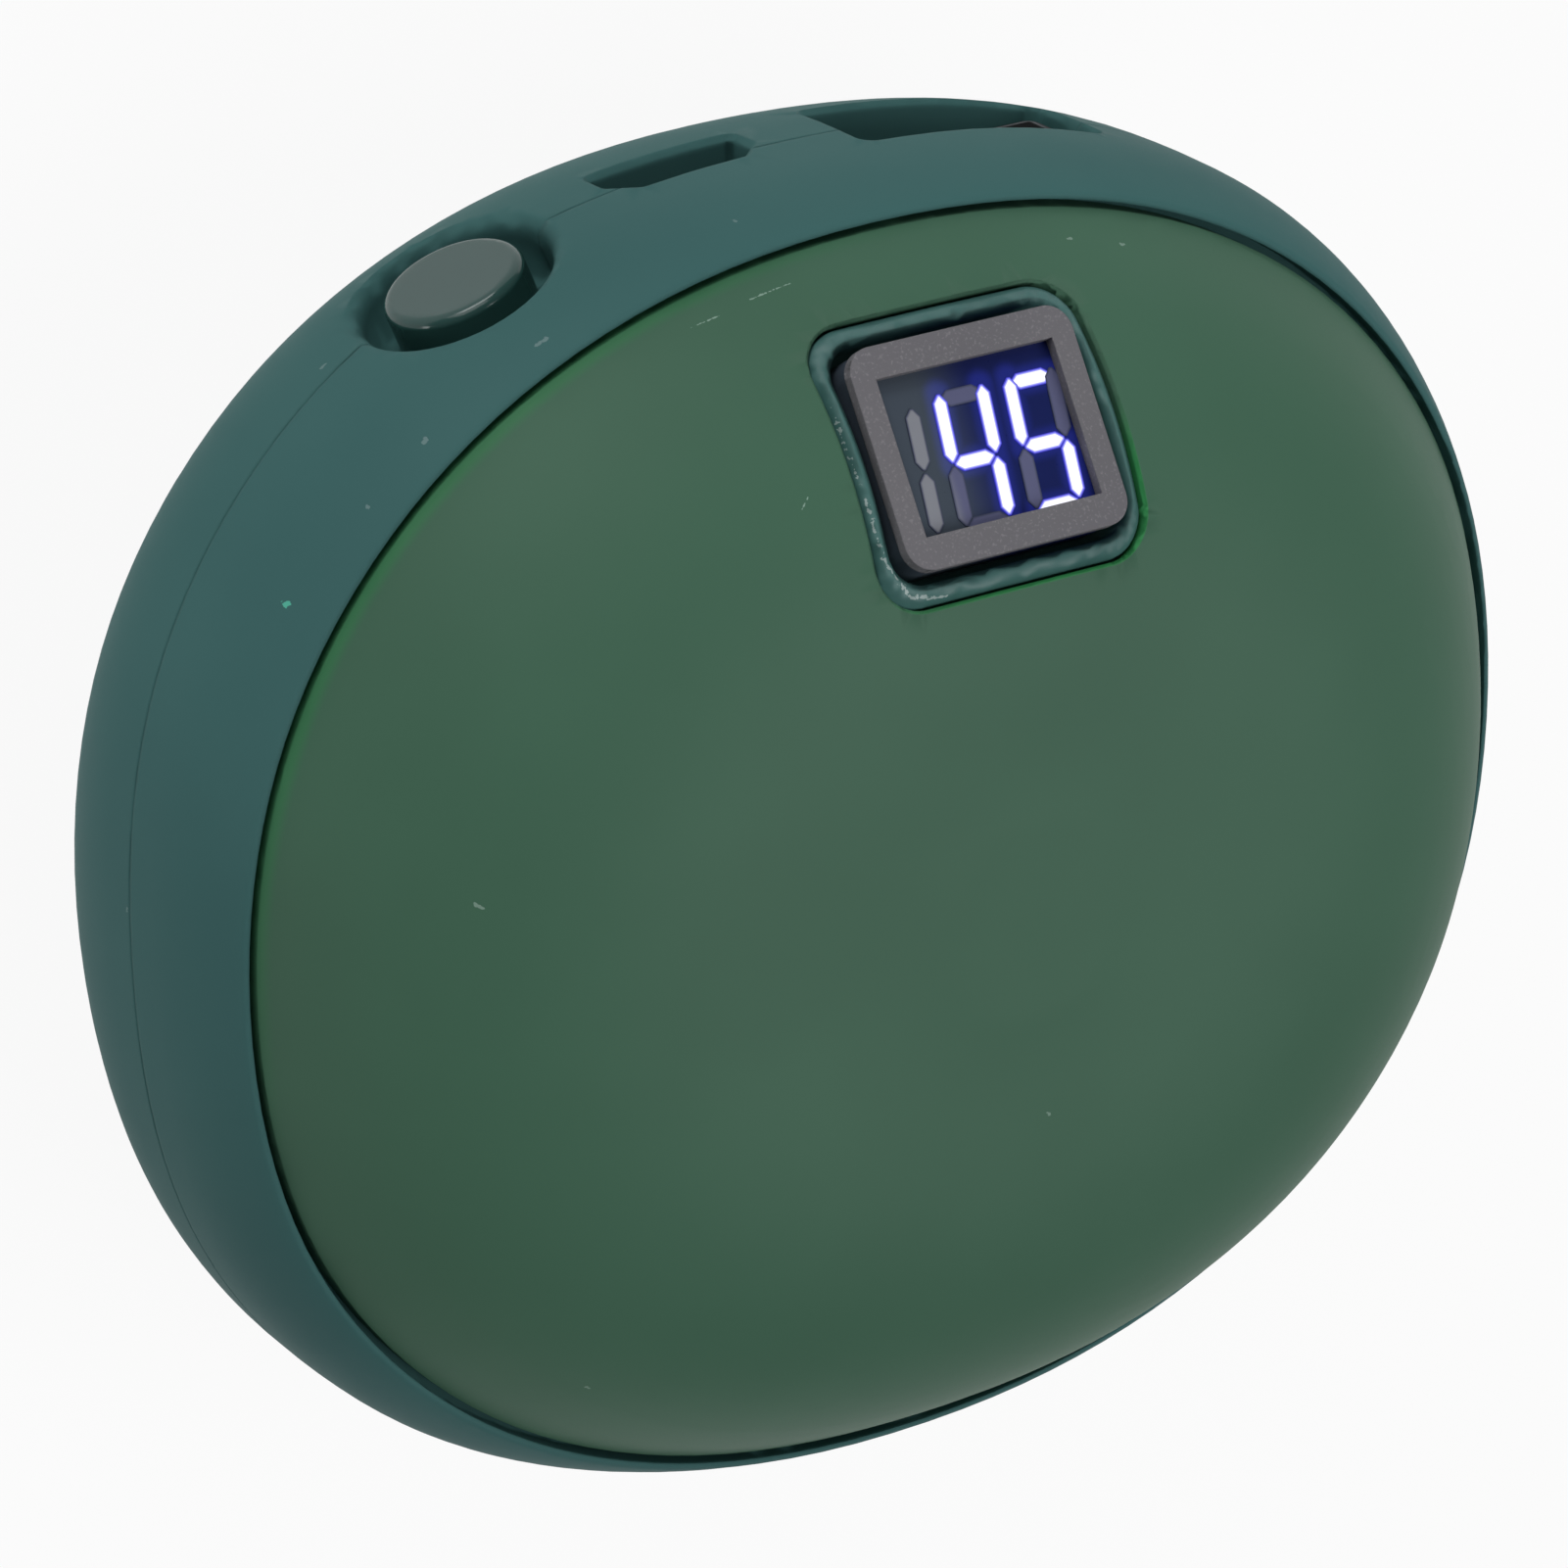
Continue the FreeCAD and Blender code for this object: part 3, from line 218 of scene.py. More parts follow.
# %% Shared effects: nicks and glow
LINE = [("Place", VECTOR), ("Start", VECTOR), ("End", VECTOR)]
reach_group, given, made = start_group("reach_of_line", LINE, ["Reach"])
from_start = vector_node(reach_group, "SUBTRACT", given["Place"], given["Start"]).outputs[0]
whole = vector_node(reach_group, "SUBTRACT", given["End"], given["Start"]).outputs[0]
along = vector_node(reach_group, "DOT_PRODUCT", from_start, whole).outputs["Value"]
squared = vector_node(reach_group, "DOT_PRODUCT", whole, whole).outputs["Value"]
part = add_node(reach_group, "ShaderNodeClamp", {0: math_node(reach_group, "DIVIDE", along, squared)})
nearest = add_node(
    reach_group, "ShaderNodeVectorMath", {0: whole, "Scale": part.outputs[0]}, operation="SCALE"
)
apart = vector_node(reach_group, "DISTANCE", from_start, nearest.outputs[0]).outputs["Value"]
reach_group.links.new(apart, made["Reach"])

nick_group, given, made = start_group("nick", LINE + [("Width", NUMBER), ("Breaks", NUMBER)], ["Mask"])
ends = {name: given[name] for name in ("Place", "Start", "End")}
NICK_NOISE_SCALE = 5000.0
noise = add_node(
    nick_group, "ShaderNodeTexNoise", {"Vector": given["Place"], "Scale": NICK_NOISE_SCALE}
).outputs[0]
ragged = math_node(nick_group, "SUBTRACT", math_node(nick_group, "MULTIPLY", noise, 2.0), given["Breaks"])
edge = math_node(nick_group, "MULTIPLY", ragged, given["Width"])
apart = place_group(nick_group, reach_group, ends)["Reach"]
nick_group.links.new(math_node(nick_group, "LESS_THAN", apart, edge), made["Mask"])
print("groups:", reach_group.name, nick_group.name)


def add_nicks(tree, place, tone, nicks, breaks, nick_tone):
    """A tone with nicks in it, each given in millimetres by its two ends and its width."""
    for start, end, width in nicks:
        values = {"Place": place, "Start": Vector(start) * MM, "End": Vector(end) * MM}
        mask = place_group(tree, nick_group, {**values, "Width": width * MM, "Breaks": breaks})["Mask"]
        tone = mix_colour(tree, mask, tone, nick_tone)
    return tone


def add_dust(tree, place, tone, scale, amount, dust_tone):
    mask = place_group(tree, dust_group, {"Place": place, "Scale": scale, "Share": amount})["Mask"]
    return mix_colour(tree, mask, tone, dust_tone)


# %% [markdown]
# One function starts each moulded or painted finish: a base colour that drifts slowly between two tones,
# and a fine grain on the roughness and the bump. Moulded edges are never quite sharp, so a bevel node can
# bend the normals near an edge. What a finish adds of its own, such as nicks, is mixed into the tone before
# it is joined up.

# %% Satin finishes
ROUGHNESS_SPREAD = 0.12
GRAIN_DEPTH = 0.02 * MM
DRIFT_LOW, DRIFT_HIGH = 0.3, 0.7


def satin(name, dark, light, roughness, grain_scale, bump_strength, soft_edge=0.0, reflection=0.5):
    """A finish with edges softened by a radius in mm; returns material, tree, shader, place and tone."""
    material, tree, shader = start_material(name)
    place = object_place(tree)
    grain = place_group(tree, grain_group, {"Place": place, "Scale": grain_scale})
    smoothest = roughness - ROUGHNESS_SPREAD / 2
    spread = math_node(tree, "MULTIPLY_ADD", grain["Height"], ROUGHNESS_SPREAD, smoothest)
    relief = {"Height": grain["Height"], "Strength": bump_strength, "Distance": GRAIN_DEPTH}
    if soft_edge:
        rounded = add_node(tree, "ShaderNodeBevel", {"Radius": soft_edge * MM}, samples=6)
        relief["Normal"] = rounded.outputs[0]
    tree.links.new(spread, shader.inputs["Roughness"])
    tree.links.new(add_node(tree, "ShaderNodeBump", relief).outputs[0], shader.inputs["Normal"])
    shader.inputs["Specular IOR Level"].default_value = reflection
    tone = mix_colour(tree, ramp(tree, grain["Drift"], DRIFT_LOW, DRIFT_HIGH), dark, light)
    return material, tree, shader, place, tone


def join_tone(tree, shader, tone):
    tree.links.new(tone, shader.inputs["Base Color"])


print("satin: roughness spread", ROUGHNESS_SPREAD, "and grain depth in mm", GRAIN_DEPTH / MM)

# %% [markdown]
# The frame is moulded in a soft teal plastic. It carries fine pale dust, a few nicks, most of them near the
# button, and one bright turquoise speck on its left shoulder, as the photograph shows. The surround of the
# display is the same plastic, a little glossier, with its lip worn pale at the left. Each nick is given by
# its two ends and its width, in millimetres.

# %% Frame plastic
TEAL_DARK, TEAL_LIGHT = colour(0.043, 0.117, 0.115), colour(0.047, 0.125, 0.122)
frame_finish, tree, shader, place, tone = satin(
    "soft_teal_plastic", TEAL_DARK, TEAL_LIGHT, roughness=0.58, grain_scale=9000.0, bump_strength=0.10,
    soft_edge=0.35, reflection=0.06,
)
tone = add_dust(tree, place, tone, scale=300.0, amount=0.05, dust_tone=colour(0.16, 0.25, 0.25))
FRAME_NICKS = [
    ((-18.2, 28.7, 27.3), (-17.6, 29.0, 27.3), 0.14),
    ((-24.2, 25.4, 27.2), (-24.1, 25.5, 27.2), 0.16),
    ((-27.2, 22.9, 27.1), (-27.2, 22.9, 27.2), 0.14),
    ((-24.9, 26.7, 19.0), (-24.7, 26.8, 19.0), 0.14),
    ((-6.9, 32.1, 26.2), (-6.8, 32.1, 26.3), 0.14),
    ((-36.9, 2.8, 19.7), (-36.9, 2.9, 19.7), 0.14),
]
TURQUOISE_SPECK = [((-31.16, 18.84, 26.3), (-31.14, 18.86, 26.3), 0.26)]
tone = add_nicks(tree, place, tone, FRAME_NICKS, breaks=0.3, nick_tone=colour(0.13, 0.21, 0.21))
tone = add_nicks(tree, place, tone, TURQUOISE_SPECK, breaks=0.3, nick_tone=colour(0.09, 0.42, 0.31))
join_tone(tree, shader, tone)

surround_finish, tree, shader, place, tone = satin(
    "surround_plastic", colour(0.048, 0.130, 0.122), colour(0.054, 0.142, 0.133), roughness=0.45,
    grain_scale=6000.0, bump_strength=0.05, soft_edge=0.4, reflection=0.35,
)
WORN_LIP = [
    ((-7.2, 26.0, 34.4), (-7.15, 22.3, 37.2), 0.30),
    ((-7.15, 22.3, 37.2), (-6.84, 19.1, 38.6), 0.30),
    ((-6.84, 19.1, 38.6), (-5.9, 17.4, 39.2), 0.40),
    ((-5.9, 17.4, 39.2), (-4.0, 17.0, 39.3), 0.34),
]
tone = add_nicks(tree, place, tone, WORN_LIP, breaks=0.85, nick_tone=colour(0.28, 0.36, 0.35))
join_tone(tree, shader, tone)
print("finishes:", frame_finish.name, surround_finish.name)

# %% [markdown]
# The panels are sheet metal under satin green paint. On the front panel a painted highlight brightens the
# rim at the upper left, where the light falls, and a thin painted highlight lies on the lower cut edge of the
# display's opening, which faces the light. Three fine scratches lie near the button and the display.

# %% Panel paint
PANEL_HALF_LENGTH, PANEL_HALF_WIDTH, PANEL_POWER = 34.9 * MM, 31.0 * MM, 2.17
PAINT_DARK, PAINT_LIGHT = colour(0.048, 0.117, 0.075), colour(0.052, 0.126, 0.081)
# Painted highlight tones, for the lit upper-left rim and for the lit lower cut edge of the display's opening.
RIM_HIGHLIGHT_TONE, CUT_EDGE_HIGHLIGHT_TONE = colour(0.030, 0.19, 0.065), colour(0.032, 0.22, 0.070)
CUT_HALF_WIDTH, CUT_HALF_HEIGHT, CUT_RADIUS = 7.4 * MM, 6.85 * MM, 2.3 * MM


def panel_paint(name):
    material, tree, shader, place, tone = satin(
        name, PAINT_DARK, PAINT_LIGHT, roughness=0.55, grain_scale=12000.0, bump_strength=0.05,
        soft_edge=0.15, reflection=0.13,
    )
    tone = add_dust(tree, place, tone, scale=260.0, amount=0.04, dust_tone=colour(0.14, 0.24, 0.17))
    return material, tree, shader, place, tone


def rim_share(tree, place):
    """How far out towards the panel's rim a place lies: 0 in the middle and 1 at the rim."""
    axes = add_node(tree, "ShaderNodeSeparateXYZ", {0: place}).outputs
    powers = []
    for axis, half in ((axes[0], PANEL_HALF_LENGTH), (axes[1], PANEL_HALF_WIDTH)):
        scaled = math_node(tree, "DIVIDE", math_node(tree, "ABSOLUTE", axis), half)
        powers.append(math_node(tree, "POWER", scaled, PANEL_POWER))
    return math_node(tree, "POWER", math_node(tree, "ADD", *powers), 1 / PANEL_POWER)


def cut_distance(tree, offset):
    """How far a place lies outside the display's opening, measured in the display's own plane."""
    overs = []
    for axis, half in ((display_across, CUT_HALF_WIDTH), (display_up, CUT_HALF_HEIGHT)):
        reach = math_node(tree, "ABSOLUTE", vector_node(tree, "DOT_PRODUCT", offset, axis).outputs["Value"])
        over = math_node(tree, "MAXIMUM", math_node(tree, "SUBTRACT", reach, half - CUT_RADIUS), 0.0)
        overs.append(math_node(tree, "MULTIPLY", over, over))
    corner = math_node(tree, "SQRT", math_node(tree, "ADD", *overs))
    return math_node(tree, "SUBTRACT", corner, CUT_RADIUS)


# Painted highlight: the rim is brighter green on its upper-left side, where the light falls on it.
RIM_HIGHLIGHT_SIDE, RIM_HIGHLIGHT_STRENGTH = Vector((-0.72, 0.69, 0.0)), 0.55
CUT_HIGHLIGHT_SIDE = display_across * 0.4 - display_up * 0.9
front_paint_with_highlights, tree, shader, place, tone = panel_paint("front_panel_paint_with_highlights")
toward_rim_light = vector_node(tree, "DOT_PRODUCT", place, RIM_HIGHLIGHT_SIDE).outputs["Value"]
rim_highlight = ramp(tree, rim_share(tree, place), low=0.986, high=0.997)
rim_highlight = math_node(tree, "MULTIPLY", rim_highlight, ramp(tree, toward_rim_light, low=18 * MM, high=34 * MM))
tone = mix_colour(tree, math_node(tree, "MULTIPLY", rim_highlight, RIM_HIGHLIGHT_STRENGTH), tone, RIM_HIGHLIGHT_TONE)
# Painted highlight: a thin brighter green line on the cut edge of the opening, only on its lower side, which
# faces the light.
offset = vector_node(tree, "SUBTRACT", place, display_place).outputs[0]
toward_cut_light = vector_node(tree, "DOT_PRODUCT", offset, CUT_HIGHLIGHT_SIDE).outputs["Value"]
cut_edge_highlight = ramp(tree, cut_distance(tree, offset), low=0.24 * MM, high=0.12 * MM)
cut_edge_highlight = math_node(tree, "MULTIPLY", cut_edge_highlight, ramp(tree, toward_cut_light, low=2 * MM, high=6 * MM))
tone = mix_colour(tree, cut_edge_highlight, tone, CUT_EDGE_HIGHLIGHT_TONE)
SCRATCHES = [
    ((-8.2, 29.56, 29.7), (-6.0, 29.9, 29.7), 0.11),
    ((-11.5, 28.83, 29.7), (-9.95, 29.18, 29.8), 0.09),
    ((-10.6, 21.6, 37.1), (-9.8, 22.4, 36.8), 0.10),
]
PANEL_SPECKS = [
    ((9.1, 29.1, 30.1), (9.3, 29.1, 30.1), 0.13),
    ((12.0, 28.3, 30.3), (12.2, 28.25, 30.3), 0.13),
    ((-27.5, 6.5, 35.9), (-27.2, 6.3, 36.0), 0.15),
    ((0.7, -10.1, 39.9), (0.8, -10.2, 39.9), 0.13),
    ((-21.4, -20.8, 33.6), (-21.3, -20.9, 33.6), 0.13),
]
tone = add_nicks(tree, place, tone, SCRATCHES, breaks=0.8, nick_tone=colour(0.22, 0.33, 0.27))
tone = add_nicks(tree, place, tone, PANEL_SPECKS, breaks=0.4, nick_tone=colour(0.17, 0.26, 0.21))
join_tone(tree, shader, tone)

rear_paint, tree, shader, place, tone = panel_paint("rear_panel_paint")
join_tone(tree, shader, tone)
print("finishes:", front_paint_with_highlights.name, rear_paint.name)

# %% [markdown]
# The plate round the reading is matt grey with a fine speckle. The button is polished. The sockets' shells
# are plated steel, dull and given a very dark colour as painted shade, because they sit deep in the frame.

# %% Small visible finishes
plate_finish, tree, shader, place, tone = satin(
    "grey_plate", colour(0.120, 0.117, 0.130), colour(0.138, 0.134, 0.146), roughness=0.5,
    grain_scale=9000.0, bump_strength=0.12, soft_edge=0.1, reflection=0.25,
)
speckle = add_node(tree, "ShaderNodeTexNoise", {"Vector": place, "Scale": 7000.0, "Detail": 1.0}).outputs[0]
tone = mix_colour(tree, ramp(tree, speckle, low=0.55, high=0.75), tone, colour(0.18, 0.175, 0.19))
join_tone(tree, shader, tone)

button_finish, tree, shader, place, tone = satin(
    "polished_button", colour(0.018, 0.058, 0.052), colour(0.022, 0.066, 0.060), roughness=0.16,
    grain_scale=6000.0, bump_strength=0.02, reflection=0.38,
)
tone = add_dust(tree, place, tone, scale=500.0, amount=0.08, dust_tone=colour(0.12, 0.17, 0.16))
join_tone(tree, shader, tone)

# Painted shade: the steel's colour is kept very dark to stand for the shade deep in the sockets.
shaded_steel_finish, tree, shader, place, tone = satin(
    "plated_steel_painted_shade", colour(0.075, 0.080, 0.085), colour(0.10, 0.105, 0.11), roughness=0.6,
    grain_scale=3000.0, bump_strength=0.05,
)
shader.inputs["Metallic"].default_value = 1.0
join_tone(tree, shader, tone)
print("finishes:", plate_finish.name, button_finish.name, shaded_steel_finish.name)

# %% [markdown]
# The strokes of the reading. It is a row of seven-stroke figures with a spare figure one in front, and it
# shows 45. Each stroke is a thin bar with pointed ends. The lit ones glow white with a blue edge. The unlit
# ones stay grey. First come the places of the strokes in the display's plane, in millimetres. The figures
# lean, so each column is given at one level, and the rows above and below it are moved across.

# %% Places of the strokes
ROWS = {"top": 2.25, "middle": -0.8, "bottom": -3.75}
LEAN, COLUMN_LEVEL = math.tan(math.radians(6)), 1
STROKE_WIDTH, STROKE_GAP, STROKE_RISE = 0.8, 0.07, 0.30
FIGURE_COLUMNS = {"four": (-1.78, 0.58), "five": (2.09, 4.45), "one": (None, -3.35)}
STROKES = {
    "a": ("left top", "right top"),
    "b": ("right top", "right middle"),
    "c": ("right middle", "right bottom"),
    "d": ("left bottom", "right bottom"),
    "e": ("left middle", "left bottom"),
    "f": ("left top", "left middle"),
    "g": ("left middle", "right middle"),
}
LIT = [("four", letter) for letter in "bcfg"] + [("five", letter) for letter in "acdfg"]
UNLIT = [("four", letter) for letter in "ade"] + [("five", letter) for letter in "be"]
UNLIT += [("one", letter) for letter in "bc"]


def stroke_ends(figure, letter):
    """The two ends of a stroke, drawn back a little from its neighbours; upper uprights reach up."""
    ends = []
    for corner in STROKES[letter]:
        side, row = corner.split()
        column = FIGURE_COLUMNS[figure][0 if side == "left" else 1]
        ends.append(Vector((column + LEAN * (ROWS[row] - COLUMN_LEVEL), ROWS[row], 0)))
    along = (ends[1] - ends[0]).normalized()
    reaches_up = figure != "one" and letter in "bf"
    return ends[0] + along * (-STROKE_RISE if reaches_up else STROKE_GAP), ends[1] - along * STROKE_GAP


def on_display(point, depth):
    """A point of the display's plane, in millimetres, as a place in the part's frame."""
    flat = Vector((point.x, point.y, 0)) * MM
    return display_place + display_turn.to_3x3() @ flat - display_out * depth


print("strokes:", len(LIT), "lit and", len(UNLIT), "unlit")

# %% [markdown]
# Finishes of the strokes. The core of a lit stroke is white and its edge blue, so the mesh will carry a
# number that is 1 in the core and 0 at the edge, and the glow follows it. The unlit strokes fade at their
# edge by the same number, and the spare figure one at the left is a paler grey.

# %% Finishes of the strokes
lit_finish, tree, shader = start_material("lit_stroke")
core = add_node(tree, "ShaderNodeAttribute", {}, attribute_name="core").outputs["Fac"]
grain = place_group(tree, grain_group, {"Place": object_place(tree), "Scale": 3000.0})
core = math_node(tree, "ADD", core, math_node(tree, "MULTIPLY_ADD", grain["Height"], 0.06, -0.03))
glow = mix_colour(tree, ramp(tree, core, 0.1, 0.8), colour(0.02, 0.02, 0.40), colour(0.35, 0.35, 1.0))
glow = mix_colour(tree, ramp(tree, core, 0.65, 1.0), glow, colour(1.0, 1.0, 1.0))
tree.links.new(glow, shader.inputs["Emission Color"])
shader.inputs["Emission Strength"].default_value = 1.0
body_tone = mix_colour(tree, core, colour(0.02, 0.02, 0.2), colour(0.1, 0.1, 0.3))
tree.links.new(body_tone, shader.inputs["Base Color"])

UNLIT_EDGE, PALE_GREY = colour(0.030, 0.038, 0.080), colour(0.19, 0.20, 0.23)
unlit_finish, tree, shader, place, tone = satin(
    "unlit_stroke", colour(0.075, 0.080, 0.16), colour(0.085, 0.090, 0.18), roughness=0.5,
    grain_scale=4000.0, bump_strength=0.05,
)
across = add_node(tree, "ShaderNodeSeparateXYZ", {0: place}).outputs[0]
tone = mix_colour(tree, ramp(tree, across, low=-2.0 * MM, high=-3.0 * MM), tone, PALE_GREY)
core = add_node(tree, "ShaderNodeAttribute", {}, attribute_name="core").outputs["Fac"]
tone = mix_colour(tree, ramp(tree, core, low=0.0, high=0.9), UNLIT_EDGE, tone)
join_tone(tree, shader, tone)
print("finishes:", lit_finish.name, unlit_finish.name)

# %% [markdown]
# The face behind the strokes is a dark window, navy at the right and slate grey at the left, and each lit
# stroke throws a soft blue glow on it. Small lamps could do that, but they would be noisy at this size, so
# the glow is worked out from the distance to each lit stroke.

# %% Finish of the face behind
FACE_DEPTH = PLATE_SINK + PLATE_THICKNESS
SLATE, GLOW_TONE = colour(0.048, 0.062, 0.082), colour(0.006, 0.008, 0.10)
GLOW_END, GLOW_START = 0.95 * MM, 0.3 * MM
face_finish, tree, shader, place, tone = satin(
    "display_face", colour(0.006, 0.011, 0.075), colour(0.007, 0.013, 0.085), roughness=0.3,
    grain_scale=5000.0, bump_strength=0.02, reflection=0.2,
)
across = add_node(tree, "ShaderNodeSeparateXYZ", {0: place}).outputs[0]
tone = mix_colour(tree, ramp(tree, across, low=0.5 * MM, high=-3.0 * MM), tone, SLATE)
halo = 0.0
for figure, letter in LIT:
    start, end = [on_display(point, FACE_DEPTH) for point in stroke_ends(figure, letter)]
    reach = place_group(tree, reach_group, {"Place": place, "Start": start, "End": end})["Reach"]
    halo = math_node(tree, "MAXIMUM", ramp(tree, reach, GLOW_END, GLOW_START), halo)
glow = mix_colour(tree, halo, colour(0, 0, 0), GLOW_TONE)
tree.links.new(glow, shader.inputs["Emission Color"])
shader.inputs["Emission Strength"].default_value = 1.0
join_tone(tree, shader, tone)
print("finish:", face_finish.name)

# %% [markdown]
# Finishes of the pieces inside. Nothing shows them while the housing is shut, but each has its own material,
# so that the part still reads well when it is opened up. Every piece then gets the finish of its slot.

# %% Hidden finishes
HIDDEN = {
    "switch_plastic": ((0.018, 0.018, 0.018), (0.026, 0.026, 0.026), 0.5),
    "board_laminate": ((0.016, 0.075, 0.034), (0.022, 0.10, 0.045), 0.4),
    "socket_plastic": ((0.012, 0.012, 0.012), (0.02, 0.02, 0.02), 0.5),
    "contact_metal": ((0.75, 0.55, 0.22), (0.85, 0.65, 0.28), 0.3),
    "chip_plastic": ((0.016, 0.016, 0.018), (0.024, 0.024, 0.026), 0.55),
    "ferrite": ((0.08, 0.08, 0.09), (0.10, 0.10, 0.11), 0.6),
    "ribbon_film": ((0.48, 0.25, 0.05), (0.6, 0.33, 0.07), 0.35),
    "pouch_foil": ((0.55, 0.56, 0.58), (0.65, 0.66, 0.68), 0.35),
    "tape_white": ((0.72, 0.71, 0.66), (0.78, 0.77, 0.73), 0.7),
    "lead_red": ((0.40, 0.018, 0.018), (0.48, 0.022, 0.022), 0.5),
    "lead_black": ((0.012, 0.012, 0.012), (0.02, 0.02, 0.02), 0.5),
    "heater_film": ((0.44, 0.21, 0.04), (0.54, 0.27, 0.06), 0.35),
    "foam_grey": ((0.10, 0.10, 0.10), (0.14, 0.14, 0.14), 0.9),
    "sensor_glass": ((0.62, 0.40, 0.26), (0.72, 0.47, 0.31), 0.2),
    "screw_steel": ((0.40, 0.40, 0.42), (0.50, 0.50, 0.52), 0.35),
}
METALS = ("contact_metal", "pouch_foil", "screw_steel")
finishes = {
    "frame_plastic": frame_finish,
    "panel_paint": rear_paint,
    "bezel_plate": plate_finish,
    "display_dark": face_finish,
    "button_gloss": button_finish,
    "socket_steel": shaded_steel_finish,
}
for slot, (dark, light, roughness) in HIDDEN.items():
    finish, tree, shader, place, tone = satin(
        slot + "_finish", colour(*dark), colour(*light), roughness, grain_scale=4000.0, bump_strength=0.1
    )
    shader.inputs["Metallic"].default_value = 1.0 if slot in METALS else 0.0
    join_tone(tree, shader, tone)
    finishes[slot] = finish
OWN_FINISHES = {"front_panel": front_paint_with_highlights, "display_surround": surround_finish}
slots = {row["node"]: row["material_slot"] for row in frame["record"]["subparts"]}
for node, slot in slots.items():
    nodes[node].data.materials.clear()
    nodes[node].data.materials.append(OWN_FINISHES.get(node, finishes[slot]))
print("finished:", len(slots), "pieces with", len(finishes), "finishes")

# %% [markdown]
# Smooth skins. A solid comes as loose triangles, so its curved walls would show facets. The shells that are
# seen are copied, their doubled points merged and their shading smoothed up to a small angle, which keeps
# each chamfer and step apart from the long triangles of the walls. Weighting the normals by area keeps
# slivers from bending the light.

# %% Smooth skins of the visible shells
MERGE_DISTANCE = 0.002 * MM
bodies = {node: body for body, members in frame["record"]["behaviour"]["bodies"].items() for node in members}


def skin(node, angle):
    """A merged copy of a node with smooth shading, which stands for it."""
    piece = bpy.data.objects.new(node + "_skin", nodes[node].data.copy())
    bpy.context.scene.collection.objects.link(piece)
    bpy.ops.object.select_all(action="DESELECT")
    piece.select_set(True)
    bpy.context.view_layer.objects.active = piece
    bpy.ops.object.mode_set(mode="EDIT")
    bpy.ops.mesh.select_all(action="SELECT")
    bpy.ops.mesh.remove_doubles(threshold=MERGE_DISTANCE)
    bpy.ops.object.mode_set(mode="OBJECT")
    bpy.ops.object.shade_smooth_by_angle(angle=math.radians(angle))
    weighted = piece.modifiers.new("weighted", "WEIGHTED_NORMAL")
    weighted.keep_sharp = True
    bpy.ops.object.modifier_apply(modifier=weighted.name)
    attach(piece, bodies[node])
    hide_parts(node)
    print(piece.name, len(piece.data.polygons), "faces")


SKIN_ANGLES = {
    "front_frame": 20, "rear_frame": 20, "front_panel": 20, "rear_panel": 20, "display_surround": 25,
    "display_bezel": 35, "button_cap": 40, "usb_a_shell": 40,
}
for node, angle in SKIN_ANGLES.items():
    skin(node, angle)

# %% [markdown]
# The strokes themselves. A cube is stretched to a bar, its ends are drawn out to points, and its upper face
# is inset, so that the inner face can carry the white core. Uprights stand a hair higher than level ones,
# so that no two tips share a plane where they cross. All lit strokes then become one piece, and all unlit
# strokes another, because they are printed in one layer.

# %% Model one stroke
STROKE_HEIGHT, UPRIGHT_HEIGHT, STROKE_EDGE = 0.04, 0.05, 0.15
TIP_SHARE, FACING = 0.2, 0.9


def select_faces(piece, side):
    """Select only the faces of a bar that look to one side, and go on in edit mode."""
    bpy.ops.mesh.select_all(action="DESELECT")
    bpy.ops.object.mode_set(mode="OBJECT")
    for face in piece.data.polygons:
        face.select = face.normal.dot(side) > FACING
    bpy.ops.object.mode_set(mode="EDIT")


def stroke(figure, letter):
    """One pointed bar, modelled in millimetres and then set on the display's face."""
    start, end = stroke_ends(figure, letter)
    height = STROKE_HEIGHT if letter in "adg" else UPRIGHT_HEIGHT
    bpy.ops.object.select_all(action="DESELECT")
    bpy.ops.mesh.primitive_cube_add(size=1)
    piece = bpy.context.object
    bpy.ops.object.mode_set(mode="EDIT")
    bpy.ops.mesh.select_mode(type="FACE")
    bpy.ops.mesh.select_all(action="SELECT")
    bpy.ops.transform.resize(value=((end - start).length - STROKE_WIDTH, STROKE_WIDTH, height))
    for side in (-1, 1):
        select_faces(piece, Vector((side, 0, 0)))
        bpy.ops.mesh.extrude_region_move(TRANSFORM_OT_translate={"value": (side * STROKE_WIDTH / 2, 0, 0)})
        bpy.ops.transform.resize(value=(1, TIP_SHARE, 1))
    select_faces(piece, Vector((0, 0, 1)))
    bpy.ops.mesh.inset(thickness=STROKE_EDGE)
    bpy.ops.object.mode_set(mode="OBJECT")
    core = piece.data.attributes.new("core", "FLOAT", "POINT")
    for corner in {corner for face in piece.data.polygons if face.select for corner in face.vertices}:
        core.data[corner].value = 1.0
    heading = Matrix.Rotation(math.atan2(end.y - start.y, end.x - start.x), 4, "Z")
    foot = on_display((start + end) / 2, FACE_DEPTH) + display_out * (height / 2) * MM
    piece.data.transform(Matrix.Translation(foot) @ display_turn @ heading @ Matrix.Scale(MM, 4))
    return piece


print("stroke in mm:", STROKE_WIDTH, "wide and", STROKE_HEIGHT, "or", UPRIGHT_HEIGHT, "high")

# %% [markdown]
# The window of the plate is a little smaller than the reading, so it hides part of the lowest strokes and
# the edge of the last figure. What would lie under the plate is cut away with a bisect, which also closes
# the cut.

# %% Join the strokes into the reading
WINDOW_HALF_WIDTH, WINDOW_HALF_HEIGHT = 4.85 * MM, 3.8 * MM
CUT_TOLERANCE = 1e-7


def trim_to_window(side, reach):
    """Cut away what lies farther out to one side of the window, with the piece in edit mode."""
    bpy.ops.mesh.select_all(action="SELECT")
    bpy.ops.mesh.bisect(
        plane_co=display_place + side * reach, plane_no=side, use_fill=True, clear_outer=True,
        threshold=CUT_TOLERANCE,
    )


